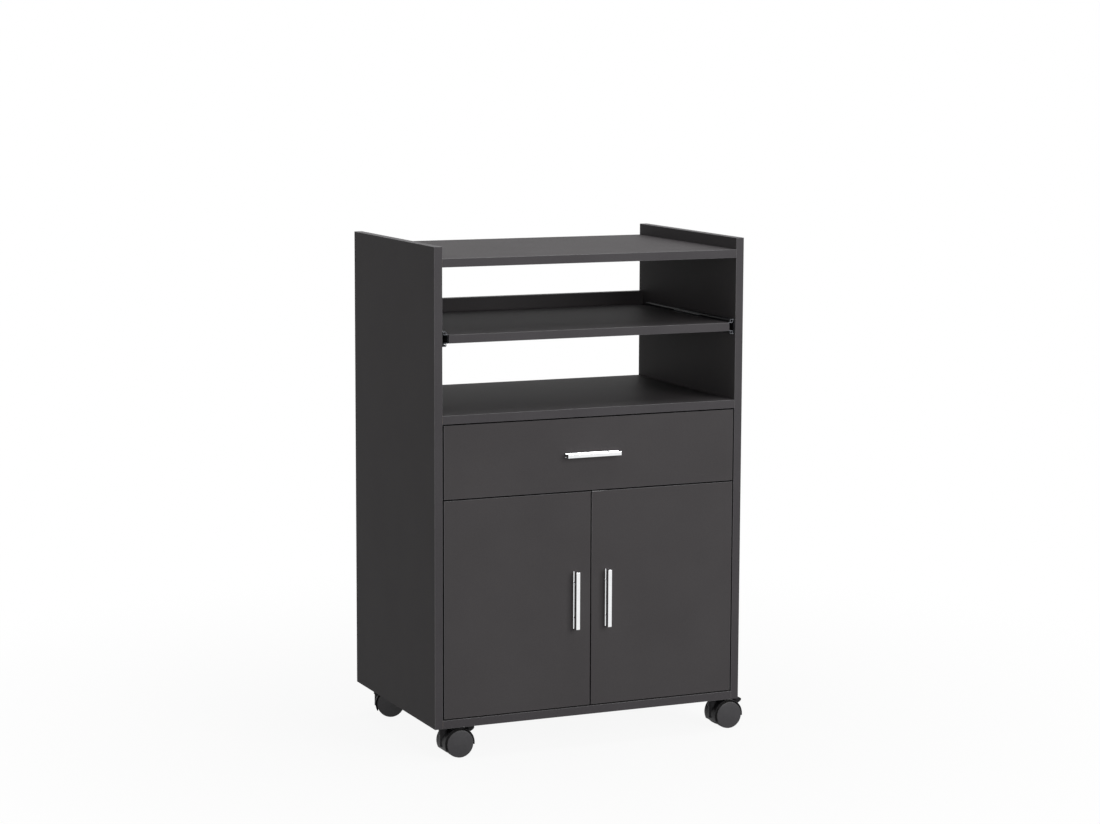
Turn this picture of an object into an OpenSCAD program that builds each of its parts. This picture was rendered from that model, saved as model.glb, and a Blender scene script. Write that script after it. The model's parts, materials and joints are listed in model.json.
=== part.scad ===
// Microwave cart: a board cabinet on four swivelling twin-wheel casters, with an open top,
// a pull-out shelf, an open bay, a drawer and a two-door cupboard.
// Millimetres. +Z is up, the floor is Z = 0, and the front faces -Y.

/* [Carcass] */
// Width over the two side panels
body_width = 600; // [540:10:720]
// Depth of the side panels
body_depth = 400; // [390:5:460]
// Height of the side panels
side_height = 850; // [830:5:960]
// Thickness of the boards
board = 15; // [14:0.5:18]
// Height of the side panels above the top shelf
rim_height = 21; // [5:1:40]
// Clear height behind the drawer and the doors
front_zone_height = 526; // [480:2:540]
// Clear height between the middle shelf and the pull-out shelf
pullout_clearance = 126; // [90:2:140]
// Height of the rail behind the pull-out shelf
back_rail_height = 60; // [45:5:80]
// Height of that rail's top edge above the pull-out shelf
back_rail_rise = 24; // [5:1:35]
// Thickness of the back panel
back_panel_thickness = 3; // [2.5:0.5:5]
// Distance from the back panel to the rear edges of the side panels
back_panel_recess = 10; // [6:1:20]
// Depth of the grooves that hold thin panels
groove_depth = 5; // [4:0.5:7]

/* [Fronts] */
// Gap round the drawer front and the doors
reveal = 2.5; // [2:0.25:4]
// Height of the drawer front
drawer_front_height = 130; // [110:2:160]
// Height of the line between drawer and doors above the lower edge of the divider
divider_overlap = 7.5; // [4:0.5:9]
// Gap between the closed doors and the front edge of the divider
divider_recess = 1; // [0.5:0.5:4]

/* [Handles] */
// Length of a bar handle
handle_length = 104; // [80:2:160]
// Width of the bar
handle_width = 8; // [6:0.5:14]
// Distance from the door's face to the front of the bar
handle_projection = 15; // [12:0.5:25]
// Thickness of the front flange
handle_front_flange = 4; // [3:0.5:6]
// Thickness of the foot flange that lies on the door
handle_foot_flange = 2.5; // [2:0.5:4]
// Thickness of the web between the two flanges
handle_web = 4; // [4:0.5:6]
// Radius of the bar's edges
handle_edge_radius = 0.8; // [0.3:0.1:1]
// Distance between the two screws of a handle
handle_screw_spacing = 64; // [48:4:68]
// Diameter of the boss round each of them
handle_boss_diameter = 7; // [6:0.5:8]
// Distance from a door's inner edge to the middle of its handle
handle_inset = 30; // [20:1:60]

/* [Pull-out shelf and slides] */
// Width of the gap that a slide fills
slide_width = 12.5; // [12.5:0.5:16]
// Height of a slide
slide_height = 27; // [27:1:40]
// Distance from the rear ends of the pull-out shelf's slides to the rail behind them
slide_rear_gap = 31; // [20:1:50]
// Travel of a slide
slide_travel = 240; // [150:10:250]
// Sheet thickness of the slides
slide_sheet = 1.2; // [1:0.1:1.4]
// Distance from the front plane to the front end of a slide
slide_setback = 4; // [3:1:10]
// Gap between the drawer front and its slides
drawer_slide_gap = 1; // [0.5:0.5:5]
// Diameter of the bearing balls
ball_diameter = 4; // [3:0.5:4]
// Number of balls in a row
balls_per_row = 6; // [4:1:8]
// Gap between the pull-out shelf and the rail behind it
pullout_rear_gap = 10; // [5:1:20]

/* [Drawer box] */
// Thickness of the drawer's sides and back
drawer_board = 12; // [10:1:14]
// Height of the drawer's sides
drawer_side_height = 90; // [70:2:95]
// Gap between the drawer's back and the back panel
drawer_rear_gap = 17; // [10:1:40]
// Thickness of the drawer's bottom
drawer_bottom_thickness = 3; // [2.5:0.5:4]
// Height of the drawer's bottom above the lower edges of its sides
drawer_bottom_height = 8; // [6:1:12]
// Gap between the divider and the drawer's sides
drawer_lift = 6; // [3:0.5:12]
// Diameter of the dowels that join the drawer
drawer_dowel_diameter = 6; // [5:0.5:6]

/* [Cupboard] */
// Height of the loose shelf above the bottom board
loose_shelf_height = 190; // [120:2:260]
// Distance from the front plane to the loose shelf
loose_shelf_setback = 52; // [45:1:180]
// Gap at each end of the loose shelf
loose_shelf_gap = 1; // [0.5:0.5:3]
// Diameter of a shelf pin
shelf_pin_diameter = 5; // [4:0.5:6]
// Pitch of the row of holes for the shelf pins
pin_hole_pitch = 32; // [25:1:50]

/* [Cup hinges] */
// Diameter of the cup
cup_diameter = 35; // [30:1:38]
// Depth of the cup in the door
cup_depth = 11; // [9:0.5:11.5]
// Distance from the door's edge to the rim of the cup
cup_edge_distance = 5; // [3:0.5:8]
// Height of a hinge's middle above or below the door's end
hinge_end_distance = 70; // [50:5:110]
// Width of the hinge arm
hinge_arm_width = 15; // [12:1:20]
// Length of the hinge arm
hinge_arm_length = 62; // [50:1:80]

/* [Board fittings] */
// Distance from a board's end to the middle of its cam lock
cam_distance = 34; // [24:1:40]
// Diameter of a cam lock
cam_diameter = 15; // [12:1:16]
// Diameter of a wooden dowel
dowel_diameter = 8; // [6:1:8]
// Length of a wooden dowel
dowel_length = 30; // [25:1:35]
// Distance from a cam bolt to the dowel beside it
dowel_offset = 32; // [24:1:50]
// Distance from a caster plate's edge to the nearest fitting
fitting_distance = 15; // [12:1:25]

/* [Casters] */
// Height of a caster from the floor to its plate's top
caster_height = 60; // [60:1:70]
// Diameter of a wheel
wheel_diameter = 51; // [44:1:51]
// Width over both wheels, without their domed covers
caster_width = 48; // [44:1:56]
// Width of the gap between the two wheels
wheel_gap = 16; // [16:0.5:20]
// Thickness of the wheel cover at its edge
cover_thickness = 2; // [1.5:0.25:3]
// Rise of its dome
cover_dome = 1.5; // [0.5:0.25:3]
// Distance from the tread to the cover's edge, across the wheel's radius
cover_inset = 0.7; // [0.5:0.1:1.5]
// Distance from the swivel axis to the axle
trail = 22.7; // [20:0.1:26]
// Gap between the wheels and the inside of the hood
hood_gap = 1; // [0.8:0.1:2]
// Wall of the hood
hood_wall = 2; // [1.5:0.1:3]
// Angle of the hood's lip above the axle, on the trailing side
hood_rear_angle = -7; // [-10:1:10]
// Angle that the hood covers, from lip to lip
hood_cover_angle = 215; // [190:1:220]
// Diameter of the axle
axle_diameter = 6; // [5:0.5:8]
// Diameter of the swivel pin
pin_diameter = 8; // [6:0.5:9]
// Side of the square caster plate
plate_size = 40; // [38:1:44]
// Thickness of the caster plate
plate_thickness = 2; // [1.5:0.25:3]
// Distance from the side panel's outer face to the swivel axis
caster_inset_side = 32; // [32:1:60]
// Distance from the front plane to the front swivel axes
caster_inset_front = 40; // [32:1:70]
// Distance from the rear edges to the rear swivel axes
caster_inset_rear = 30; // [28:1:70]
// Reach of a brake pedal from the swivel axis
brake_reach = 56; // [54:1:64]
// Width of the brake pedal
brake_width = 24; // [20:1:36]
// Height of the brake pedal's top above the floor
brake_top = 54; // [53:0.5:55]
// Fall of its top towards the tip
brake_fall = 3; // [1:0.5:4]
// Thickness of its tip
brake_tip = 2.5; // [2:0.5:4]
// Heading of the front left caster
heading_front_left = 0; // [-180:0.1:180]
// Heading of the front right caster
heading_front_right = 0; // [-180:0.1:180]
// Heading of the rear left caster
heading_rear_left = -20.7; // [-180:0.1:180]
// Heading of the rear right caster
heading_rear_right = -35; // [-180:0.1:180]

/* [Fits] */
// Radial clearance of a turning pin, axle or wheel
running_clearance = 0.06; // [0.03:0.01:0.1]
// Radial clearance of a screw, bolt or dowel in its hole
hole_clearance = 0.1; // [0.05:0.05:0.3]
// Gap between sheet parts that slide past each other
slide_clearance = 0.15; // [0.1:0.05:0.3]

/* [Screws] */
// Diameter of the wood screws
screw_diameter = 3.5; // [3:0.5:4]
// Length of the wood screws
screw_length = 12; // [10:1:13]
// Diameter of the screw heads
screw_head_diameter = 7; // [6:0.5:8]
// Height of the screw heads
screw_head_height = 1.8; // [1.5:0.1:2.5]
// Diameter of the handle screws
handle_screw_diameter = 4; // [3:0.5:4]

/* [Hidden] */
$fn = 48;
eps = 0.01;

// Planes of the carcass. The middle of the whole outline, brake pedals and handles
// included, stands over the origin.
mid_x = -(brake_reach - caster_inset_side) / 2;
front_y = -(body_depth - handle_projection) / 2;
inner_width = body_width - 2 * board;
left_wall_x = mid_x - inner_width / 2;
right_wall_x = mid_x + inner_width / 2;

// Heights of the boards' lower faces above the floor.
bottom_z = caster_height;
zone_z = bottom_z + board;
middle_z = zone_z + front_zone_height;
pullout_z = middle_z + board + pullout_clearance;
top_z = bottom_z + side_height - rim_height - board;
door_height = front_zone_height - drawer_front_height - 3 * reveal;
door_z = zone_z + reveal;
door_width = (inner_width - 3 * reveal) / 2;
drawer_front_z = door_z + door_height + reveal;
divider_z = drawer_front_z - reveal / 2 - divider_overlap;

// Depths behind the front plane.
panel_y = body_depth - back_panel_recess - back_panel_thickness;
divider_y = board + divider_recess;
rail_y = body_depth - board;
pullout_depth = rail_y - pullout_rear_gap;
loose_shelf_depth = panel_y - loose_shelf_setback;
panel_slack = 0.5;

// The upright rail behind the pull-out shelf.
back_rail_z = pullout_z + board + back_rail_rise - back_rail_height;
rail_fitting_z = back_rail_z + back_rail_height / 2;
rail_fitting_step = 8;

// Slides: the balls run between the races of the channel and the rail.
ball_r = ball_diameter / 2;
race_r = ball_r + slide_clearance;
race_outer_r = race_r + slide_sheet;
ball_z = slide_height / 2 - race_outer_r;
ball_x = slide_width / 2;
race_gap = 0.7;
slide_length = rail_y - slide_setback - slide_rear_gap;
cage_sheet = 0.8;
cage_margin = 4;
cage_length = slide_length - slide_travel - 2 * cage_margin;
cage_start = slide_travel / 2 + cage_margin;
slide_screw_inset = 35;
slide_screw_rows = [slide_screw_inset, slide_length - slide_screw_inset];
drawer_slide_y = board + drawer_slide_gap;
runner_width = inner_width - 2 * slide_width;
drawer_side_z = divider_z + board + drawer_lift;
pullout_slide_place = [0, slide_setback, pullout_z + board / 2];
drawer_slide_place = [0, drawer_slide_y, drawer_side_z + drawer_side_height / 2];

// Drawer box.
drawer_side_length = panel_y - board - drawer_rear_gap;
drawer_back_y = board + drawer_side_length - drawer_board;
drawer_inner_width = runner_width - 2 * drawer_board;
drawer_handle_z = drawer_front_z + drawer_front_height / 2;
drawer_bottom_z = drawer_side_z + drawer_bottom_height;
drawer_dowel_length = 25;
drawer_dowel_bite = 9;
drawer_dowel_heights = [
    drawer_side_z + drawer_side_height * 0.3, drawer_side_z + drawer_side_height * 0.8
];

// Handles.
handle_screw_depth = 8;
handle_screw_head_height = 2;
door_handle_z = door_z + door_height / 2;
door_handle_x = reveal / 2 + handle_inset;

// Cup hinges, in the frame of a side wall: x inwards from the wall, y behind the front.
cup_x = reveal + cup_edge_distance + cup_diameter / 2;
cup_wall = 0.8;
cup_flange = 1.2;
cup_flange_width = 12;
cup_screw_spacing = cup_diameter + 10;
arm_gap = 2.5;
arm_y = board + cup_flange + arm_gap;
arm_sheet = 1.2;
arm_lift = 3;
arm_height = 13;
plate_screw_spacing = 32;
hinge_plate_thickness = 2;
hinge_plate_width = 14;
hinge_plate_margin = 6;
hinge_plate_height = plate_screw_spacing + 2 * hinge_plate_margin;
hinge_plate_tail = 20;
hinge_plate_y = arm_y + hinge_arm_length - hinge_plate_tail;
hinge_block_length = 31;
arm_screw_rise = 1;
cup_screw_bite = 9;
cup_flange_margin = 2;
link_width = 8;
link_sheet = 2.4;
link_seat_gap = 0.3;
link_tip_inset = 4.5;
link_pivot_inset = 12;
link_pivot_rise = 6;
link_pivot_x = reveal + link_pivot_inset;
link_pivot_y = board + link_pivot_rise;
link_tip_x = cup_x + cup_diameter / 2 - link_tip_inset;
link_tip_y = board - cup_depth + cup_wall + link_seat_gap + link_sheet / 2;
link_length = norm([link_tip_x - link_pivot_x, link_tip_y - link_pivot_y]);
link_angle = atan2(link_tip_y - link_pivot_y, link_tip_x - link_pivot_x);
link_pin_diameter = 3;
link_eye_r = link_pin_diameter / 2 + 1.2;
link_room_r = link_eye_r + 0.5;
hinge_heights = [door_z + hinge_end_distance, door_z + door_height - hinge_end_distance];

// Board fittings.
cam_depth = 12;
cam_wall = 2.5;
cam_floor = 3;
cam_mouth = 6;
cam_cross_width = 1.5;
cam_bolt_diameter = 5;
cam_bolt_neck = 4;
cam_bolt_head = 6.5;
cam_bolt_head_length = 4;
cam_bolt_bore = 8;
cam_bolt_bite = 10;
dowel_bite = 9;
bore_end_gap = 0.5;
fitting_rows = [
    caster_inset_front + plate_size / 2 + fitting_distance,
    body_depth - caster_inset_rear - plate_size / 2 - fitting_distance - dowel_offset
];
shelved_boards = [bottom_z, middle_z, top_z];
shelf_pin_bite = 9;
shelf_pin_drop = 1;
shelf_pin_collar = 1.5;
shelf_spade_reach = 10;
shelf_spade_width = 8;
shelf_pin_inset = 8;
shelf_pin_rear_inset = 62;
pin_rows = [loose_shelf_setback + shelf_pin_inset, panel_y - shelf_pin_rear_inset];
loose_shelf_z = zone_z + loose_shelf_height;
pin_hole_z = loose_shelf_z - shelf_pin_diameter / 2 - shelf_pin_drop;

// Wood screws.
screw_tip_length = 2;

// Casters, in the frame of the swivel axis: +X trails, the axle is along Y.
wheel_r = wheel_diameter / 2;
axle_z = wheel_r;
hood_inner_r = wheel_r + hood_gap;
hood_outer_r = hood_inner_r + hood_wall;
hood_edge_gap = 0.5;
hood_width = caster_width - 2 * cover_thickness - 2 * hood_edge_gap;
web_thickness = 5;
barrel_r = wheel_gap / 2 - 0.4;
boss_r = axle_diameter / 2 + 4;
neck_r = pin_diameter / 2 + 5;
swivel_gap = 0.5;
neck_top = caster_height - plate_thickness - swivel_gap;
neck_height = neck_top - axle_z - sqrt(pow(hood_inner_r + 0.5, 2) - pow(trail, 2));
pin_tip_z = axle_z - 4;
pin_shoulder_r = neck_r - 1;
pin_shoulder_height = swivel_gap - 0.1;
barrel_bottom_z = pin_tip_z - 3;
plate_corner_r = 5;
plate_hole_inset = 6;
plate_hole_spacing = plate_size - 2 * plate_hole_inset;
axle_end = caster_width / 2 - 5;
wheel_face = caster_width / 2;
wheel_wall = 5;
rim_thickness = 4.5;
rim_corner_r = 1.6;
cover_groove_width = 1.5;
cover_groove_depth = 3;
wheel_side_gap = 0.3;
brake_pivot_lead = 12;
brake_pivot_rise = 13;
brake_knee_lead = 24;
brake_knee_rise = 22.5;
brake_pivot = [trail + brake_pivot_lead, axle_z + brake_pivot_rise];
brake_knee = [trail + brake_knee_lead, axle_z + brake_knee_rise];
brake_root_lead = 15.5;
brake_shoulder_lead = 27;
brake_heel_lead = 23;
brake_heel_rise = 17.5;
brake_hood_gap = 1.5;
brake_corner_r = 6;
brake_arm = 4;
brake_cheek = 3;
brake_side_gap = 0.4;
brake_pin_diameter = 3;
brake_slot_angle = 43;
brake_slot_height = 11;
brake_slot_depth = 20;
brake_slot_start = 7;
caster_x = body_width / 2 - caster_inset_side;
caster_front_y = caster_inset_front;
caster_rear_y = body_depth - caster_inset_rear;
caster_spots = [
    [-caster_x, caster_front_y, heading_front_left],
    [caster_x, caster_front_y, heading_front_right],
    [-caster_x, caster_rear_y, heading_rear_left],
    [caster_x, caster_rear_y, heading_rear_right]
];
FRONT_LEFT = 0;
FRONT_RIGHT = 1;
REAR_LEFT = 2;
REAR_RIGHT = 3;

// ---- Frames ----

// x from the middle of the carcass, y behind the front plane, z above the floor.
module in_body() translate([mid_x, front_y, 0]) children();

// x inwards from a side panel's inner face.
module at_left_wall() translate([left_wall_x, front_y, 0]) children();
module at_right_wall() translate([right_wall_x, front_y, 0]) mirror([1, 0, 0]) children();
module at_both_walls() {
    at_left_wall() children();
    at_right_wall() children();
}

// One caster's frame: the swivel axis at the origin, trailing towards +X.
module at_caster(spot)
    translate([mid_x + spot[0], front_y + spot[1], 0]) rotate([0, 0, spot[2]]) children();

// ---- Shared shapes ----

module rounded_rect(size, r) {
    translate([r, 0]) square([size[0] - 2 * r, size[1]]);
    translate([0, r]) square([size[0], size[1] - 2 * r]);
    for (x = [r, size[0] - r], y = [r, size[1] - r]) translate([x, y]) circle(r);
}

// A bar in the plane from p to q.
module strip(p, q, width) {
    d = q - p;
    translate(p) rotate(atan2(d[1], d[0])) translate([0, -width / 2])
        square([norm(d), width]);
}

// Turns a drawing in X and Z into a plate across Y, from y0 to y1.
module across_y(y0, y1)
    translate([0, y1, 0]) rotate([90, 0, 0]) linear_extrude(y1 - y0) children();

// A wood screw along +Z: the head is below z = 0 and the shank is above.
module wood_screw() {
    translate([0, 0, -screw_head_height])
        cylinder(d = screw_head_diameter, h = screw_head_height);
    translate([0, 0, -eps])
        cylinder(d = screw_diameter, h = screw_length - screw_tip_length + eps);
    translate([0, 0, screw_length - screw_tip_length])
        cylinder(d1 = screw_diameter, d2 = screw_diameter / 3, h = screw_tip_length);
}

module screw_hole(depth)
    translate([0, 0, -eps])
        cylinder(d = screw_diameter + 2 * hole_clearance, h = depth + eps);

// ---- Boards and their fittings ----

// Bores into a board's end, along +z: the bolt's, and the dowel's beside it.
module end_bores(offset) {
    translate([0, 0, -eps]) cylinder(d = cam_bolt_bore, h = cam_distance);
    translate([0, offset, -eps])
        cylinder(d = dowel_diameter + 2 * hole_clearance, h = dowel_length - dowel_bite);
}

// Bores into a wall, along -x from its inner face: the bolt's and the dowel's.
module bolt_bore() translate([eps, 0, 0]) rotate([0, -90, 0])
    cylinder(d = cam_bolt_diameter + 2 * hole_clearance, h = cam_bolt_bite + bore_end_gap);

module dowel_bore() translate([eps, 0, 0]) rotate([0, -90, 0])
    cylinder(d = dowel_diameter + 2 * hole_clearance, h = dowel_bite + bore_end_gap);

// A board from side to side, with the bores for its cam locks, bolts and dowels.
// Its lower face is z = 0 and its front edge is y = 0.
module cross_board(depth, rows) {
    difference() {
        translate([-inner_width / 2, 0, 0]) cube([inner_width, depth, board]);
        for (side = [-1, 1], y = rows) translate([side * inner_width / 2, y, 0]) {
            translate([-side * cam_distance, 0, -eps])
                cylinder(d = cam_diameter + 2 * hole_clearance, h = cam_depth + eps);
            translate([0, 0, board / 2]) rotate([0, -side * 90, 0]) end_bores(dowel_offset);
        }
    }
}

// Bores in a wall for one row of bolts and dowels, in the wall's frame.
module wall_bores(z, rows)
    for (y = rows) {
        translate([0, y, z + board / 2]) bolt_bore();
        translate([0, y + dowel_offset, z + board / 2]) dowel_bore();
    }

// One side panel in its wall's frame: the board lies at negative x.
module side_panel() {
    difference() {
        translate([-board, 0, bottom_z]) cube([board, body_depth, side_height]);
        for (z = shelved_boards) wall_bores(z, fitting_rows);
        wall_bores(divider_z, fitting_rows);
        // The back rail's bolt and dowel.
        translate([0, rail_y + board / 2, rail_fitting_z + rail_fitting_step]) bolt_bore();
        translate([0, rail_y + board / 2, rail_fitting_z - rail_fitting_step]) dowel_bore();
        // The groove for the back panel.
        translate([-groove_depth, panel_y, zone_z - groove_depth])
            cube([groove_depth + eps, back_panel_thickness, front_zone_height + 2 * groove_depth]);
        // Three holes in each row for the loose shelf's pins.
        for (y = pin_rows, step = [-1, 0, 1])
            translate([eps, y, pin_hole_z + step * pin_hole_pitch]) rotate([0, -90, 0])
                cylinder(d = shelf_pin_diameter + 2 * hole_clearance,
                         h = shelf_pin_bite + bore_end_gap);
        // Pilot holes for the slides.
        for (place = [pullout_slide_place, drawer_slide_place], y = slide_screw_rows)
            translate(place) translate([0, y, 0]) rotate([0, -90, 0])
                screw_hole(screw_length - slide_sheet);
        // Pilot holes for the hinge arms.
        for (z = hinge_heights, side = [-1, 1])
            translate([0, hinge_plate_y, z + side * plate_screw_spacing / 2])
                rotate([0, -90, 0]) screw_hole(screw_length - hinge_plate_thickness);
    }
}

module left_side_panel() color("#343335") at_left_wall() side_panel();
module right_side_panel() color("#343335") at_right_wall() side_panel();

module bottom_board() color("#3d3c3e")
    in_body() difference() {
        translate([0, 0, bottom_z]) cross_board(body_depth, fitting_rows);
        translate([-inner_width / 2 - eps, panel_y, zone_z - groove_depth])
            cube([inner_width + 2 * eps, back_panel_thickness, groove_depth + eps]);
        for (spot = caster_spots) translate([spot[0], spot[1], bottom_z])
            plate_corners() screw_hole(screw_length - plate_thickness);
    }

module divider_board() color("#343335")
    in_body() translate([0, divider_y, divider_z])
        cross_board(panel_y - divider_y, [for (y = fitting_rows) y - divider_y]);

module middle_shelf() color("#3d3c3e")
    in_body() difference() {
        translate([0, 0, middle_z]) cross_board(body_depth, fitting_rows);
        translate([-inner_width / 2 - eps, panel_y, middle_z - eps])
            cube([inner_width + 2 * eps, back_panel_thickness, groove_depth + eps]);
    }

module top_shelf() color("#454446")
    in_body() translate([0, 0, top_z]) cross_board(body_depth, fitting_rows);

// The rail stands on edge behind the pull-out shelf, its cam locks on the rear face.
module back_rail() color("#343335")
    in_body() difference() {
        translate([-inner_width / 2, rail_y, back_rail_z])
            cube([inner_width, board, back_rail_height]);
        for (side = [-1, 1])
            translate([side * inner_width / 2, rail_y + board / 2,
                       rail_fitting_z + rail_fitting_step]) {
                translate([-side * cam_distance, board / 2 + eps, 0]) rotate([90, 0, 0])
                    cylinder(d = cam_diameter + 2 * hole_clearance, h = cam_depth + eps);
                rotate([0, -side * 90, 0]) rotate([0, 0, side * 90])
                    end_bores(2 * rail_fitting_step);
            }
    }

module back_panel() color("#2b2a2c")
    in_body() translate([-inner_width / 2 - groove_depth + panel_slack, panel_y,
                         zone_z - groove_depth + panel_slack])
        cube([inner_width + 2 * (groove_depth - panel_slack), back_panel_thickness,
              front_zone_height + 2 * (groove_depth - panel_slack)]);

module loose_shelf() color("#343335")
    in_body() translate([-inner_width / 2 + loose_shelf_gap, loose_shelf_setback,
                         loose_shelf_z])
        cube([inner_width - 2 * loose_shelf_gap, loose_shelf_depth - panel_slack, board]);

// A pin in the wall with a flat spade that the shelf lies on.
module shelf_pin() {
    translate([0, 0, pin_hole_z]) {
        rotate([0, -90, 0]) cylinder(d = shelf_pin_diameter, h = shelf_pin_bite);
        rotate([0, 90, 0])
            cylinder(d = shelf_pin_diameter + shelf_pin_collar, h = shelf_pin_collar);
        translate([0, -shelf_spade_width / 2, -shelf_pin_diameter / 2])
            cube([shelf_spade_reach, shelf_spade_width, shelf_pin_diameter + shelf_pin_drop]);
    }
}

module shelf_pins() color("silver")
    at_both_walls() for (y = pin_rows) translate([0, y, 0]) shelf_pin();

// A cam lock along +Z with its bolt coming from -x, in the frame of the cam's middle.
module cam_fitting() {
    difference() {
        cylinder(d = cam_diameter, h = cam_depth - bore_end_gap);
        translate([0, 0, cam_floor]) cylinder(d = cam_diameter - 2 * cam_wall, h = cam_depth);
        translate([-cam_diameter, -cam_mouth / 2, cam_floor])
            cube([cam_diameter, cam_mouth, cam_depth]);
        for (turn = [0, 90]) rotate(turn)
            translate([-cam_diameter / 4, -cam_cross_width / 2, -eps])
                cube([cam_diameter / 2, cam_cross_width, cam_cross_width]);
    }
    translate([-cam_distance, 0, board / 2]) rotate([0, 90, 0]) {
        translate([0, 0, -cam_bolt_bite]) cylinder(d = cam_bolt_diameter, h = cam_bolt_bite);
        translate([0, 0, -eps]) cylinder(d = cam_bolt_neck, h = cam_distance);
        translate([0, 0, cam_distance - cam_bolt_head_length / 2 - 1])
            cylinder(d = cam_bolt_head, h = cam_bolt_head_length);
    }
}

module cam_fittings() color("silver") {
    at_both_walls() {
        for (z = concat(shelved_boards, [divider_z]), y = fitting_rows)
            translate([cam_distance, y, z]) cam_fitting();
        translate([cam_distance, rail_y + board, rail_fitting_z + rail_fitting_step])
            rotate([90, 0, 0]) cam_fitting();
    }
}

module dowel() translate([-dowel_bite, 0, 0]) rotate([0, 90, 0])
    cylinder(d = dowel_diameter, h = dowel_length - bore_end_gap);

module dowels() color("#c9a775")
    at_both_walls() {
        for (z = concat(shelved_boards, [divider_z]), y = fitting_rows)
            translate([0, y + dowel_offset, z + board / 2]) dowel();
        translate([0, rail_y + board / 2, rail_fitting_z - rail_fitting_step]) dowel();
    }

// ---- Ball-bearing slides ----
// Drawn with x from the wall, y from the slide's front end and z from its middle line.

// The part of a race on one side of the ball's middle.
module race(up)
    intersection() {
        difference() {
            circle(race_outer_r);
            circle(race_r);
        }
        translate([-race_outer_r, up ? race_gap : -race_outer_r])
            square([2 * race_outer_r, race_outer_r - race_gap]);
    }

module channel_profile() {
    translate([0, -slide_height / 2]) square([slide_sheet, slide_height]);
    for (m = [0, 1]) mirror([0, m]) {
        translate([ball_x, ball_z]) race(true);
        translate([0, slide_height / 2 - slide_sheet])
            square([ball_x - race_outer_r / 2, slide_sheet]);
    }
}

module rail_profile() {
    rail_half = ball_z - race_r;
    translate([slide_width - slide_sheet, -rail_half]) square([slide_sheet, 2 * rail_half]);
    for (m = [0, 1]) mirror([0, m]) {
        translate([ball_x, ball_z]) race(false);
        translate([ball_x + race_outer_r / 2, rail_half - slide_sheet])
            square([slide_width - ball_x - race_outer_r / 2, slide_sheet]);
    }
}

module along_slide(length) rotate([90, 0, 0]) translate([0, 0, -length])
    linear_extrude(length) children();

module slide_channel()
    difference() {
        along_slide(slide_length) channel_profile();
        for (y = slide_screw_rows) translate([-eps, y, 0]) rotate([0, 90, 0])
            cylinder(d = screw_diameter + 2 * hole_clearance, h = slide_sheet + 2 * eps);
    }

module slide_rail()
    difference() {
        along_slide(slide_length) rail_profile();
        for (y = slide_screw_rows) translate([slide_width + eps, y, 0]) rotate([0, -90, 0])
            cylinder(d = screw_diameter + 2 * hole_clearance, h = slide_sheet + 2 * eps);
    }

// Two strips that keep the balls apart, and the balls in them.
module ball_cage() {
    pitch = cage_length / balls_per_row;
    for (m = [0, 1]) mirror([0, 0, m]) {
        difference() {
            translate([ball_x - race_outer_r, cage_start, ball_z - cage_sheet / 2])
                cube([2 * race_outer_r, cage_length, cage_sheet]);
            for (i = [0:balls_per_row - 1])
                translate([ball_x, cage_start + (i + 0.5) * pitch, ball_z - cage_sheet])
                    cylinder(r = ball_r + slide_clearance / 2, h = 2 * cage_sheet);
        }
        for (i = [0:balls_per_row - 1])
            translate([ball_x, cage_start + (i + 0.5) * pitch, ball_z]) sphere(ball_r);
    }
}

module slide_screws_in_wall()
    for (y = slide_screw_rows) translate([slide_sheet, y, 0]) rotate([0, -90, 0]) wood_screw();

module slide_screws_in_runner()
    for (y = slide_screw_rows) translate([slide_width - slide_sheet, y, 0])
        rotate([0, 90, 0]) wood_screw();

module at_pullout_slides() at_both_walls() translate(pullout_slide_place) children();
module at_drawer_slides() at_both_walls() translate(drawer_slide_place) children();

module pullout_channels() color("#232325") at_pullout_slides() slide_channel();
module drawer_channels() color("#232325") at_drawer_slides() slide_channel();
module pullout_rails() color("#2c2c2e") at_pullout_slides() {
    slide_rail();
    slide_screws_in_runner();
}
module drawer_rails() color("#2c2c2e") at_drawer_slides() slide_rail();
module pullout_ball_cages() color("silver") at_pullout_slides() ball_cage();
module drawer_ball_cages() color("silver") at_drawer_slides() ball_cage();

// ---- Pull-out shelf ----

module runner_pilots()
    for (y = slide_screw_rows) translate([slide_width, y, 0]) rotate([0, 90, 0])
        screw_hole(screw_length - slide_sheet);

module pullout_shelf() color("#454446")
    difference() {
        in_body() translate([-runner_width / 2, 0, pullout_z])
            cube([runner_width, pullout_depth, board]);
        at_pullout_slides() runner_pilots();
    }

// ---- Handles ----

// The section of the bar: x across it, y from the door's face to the front.
module handle_section() {
    translate([-handle_width / 2, 0]) rounded_rect([handle_width, handle_foot_flange],
        handle_edge_radius);
    translate([-handle_web / 2, handle_edge_radius])
        square([handle_web, handle_projection - 2 * handle_edge_radius]);
    translate([-handle_width / 2, handle_projection - handle_front_flange])
        rounded_rect([handle_width, handle_front_flange], handle_edge_radius);
}

// The axes of a handle's two screws, pointing to the front.
module at_handle_screws()
    for (end = [-1, 1]) translate([0, 0, end * handle_screw_spacing / 2])
        rotate([90, 0, 0]) children();

module handle_screw_bore(length)
    translate([0, 0, -eps])
        cylinder(d = handle_screw_diameter + 2 * hole_clearance, h = length + eps);

// A bar along Z, centred, standing on the plane y = 0 towards -y. Its ends are cut straight,
// so the groove on each side is open there.
module bar_handle() {
    difference() {
        union() {
            translate([0, 0, -handle_length / 2]) linear_extrude(handle_length)
                mirror([0, 1]) handle_section();
            at_handle_screws()
                cylinder(d = handle_boss_diameter,
                         h = handle_projection - handle_front_flange / 2);
        }
        at_handle_screws() handle_screw_bore(handle_screw_depth + bore_end_gap);
    }
}

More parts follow.
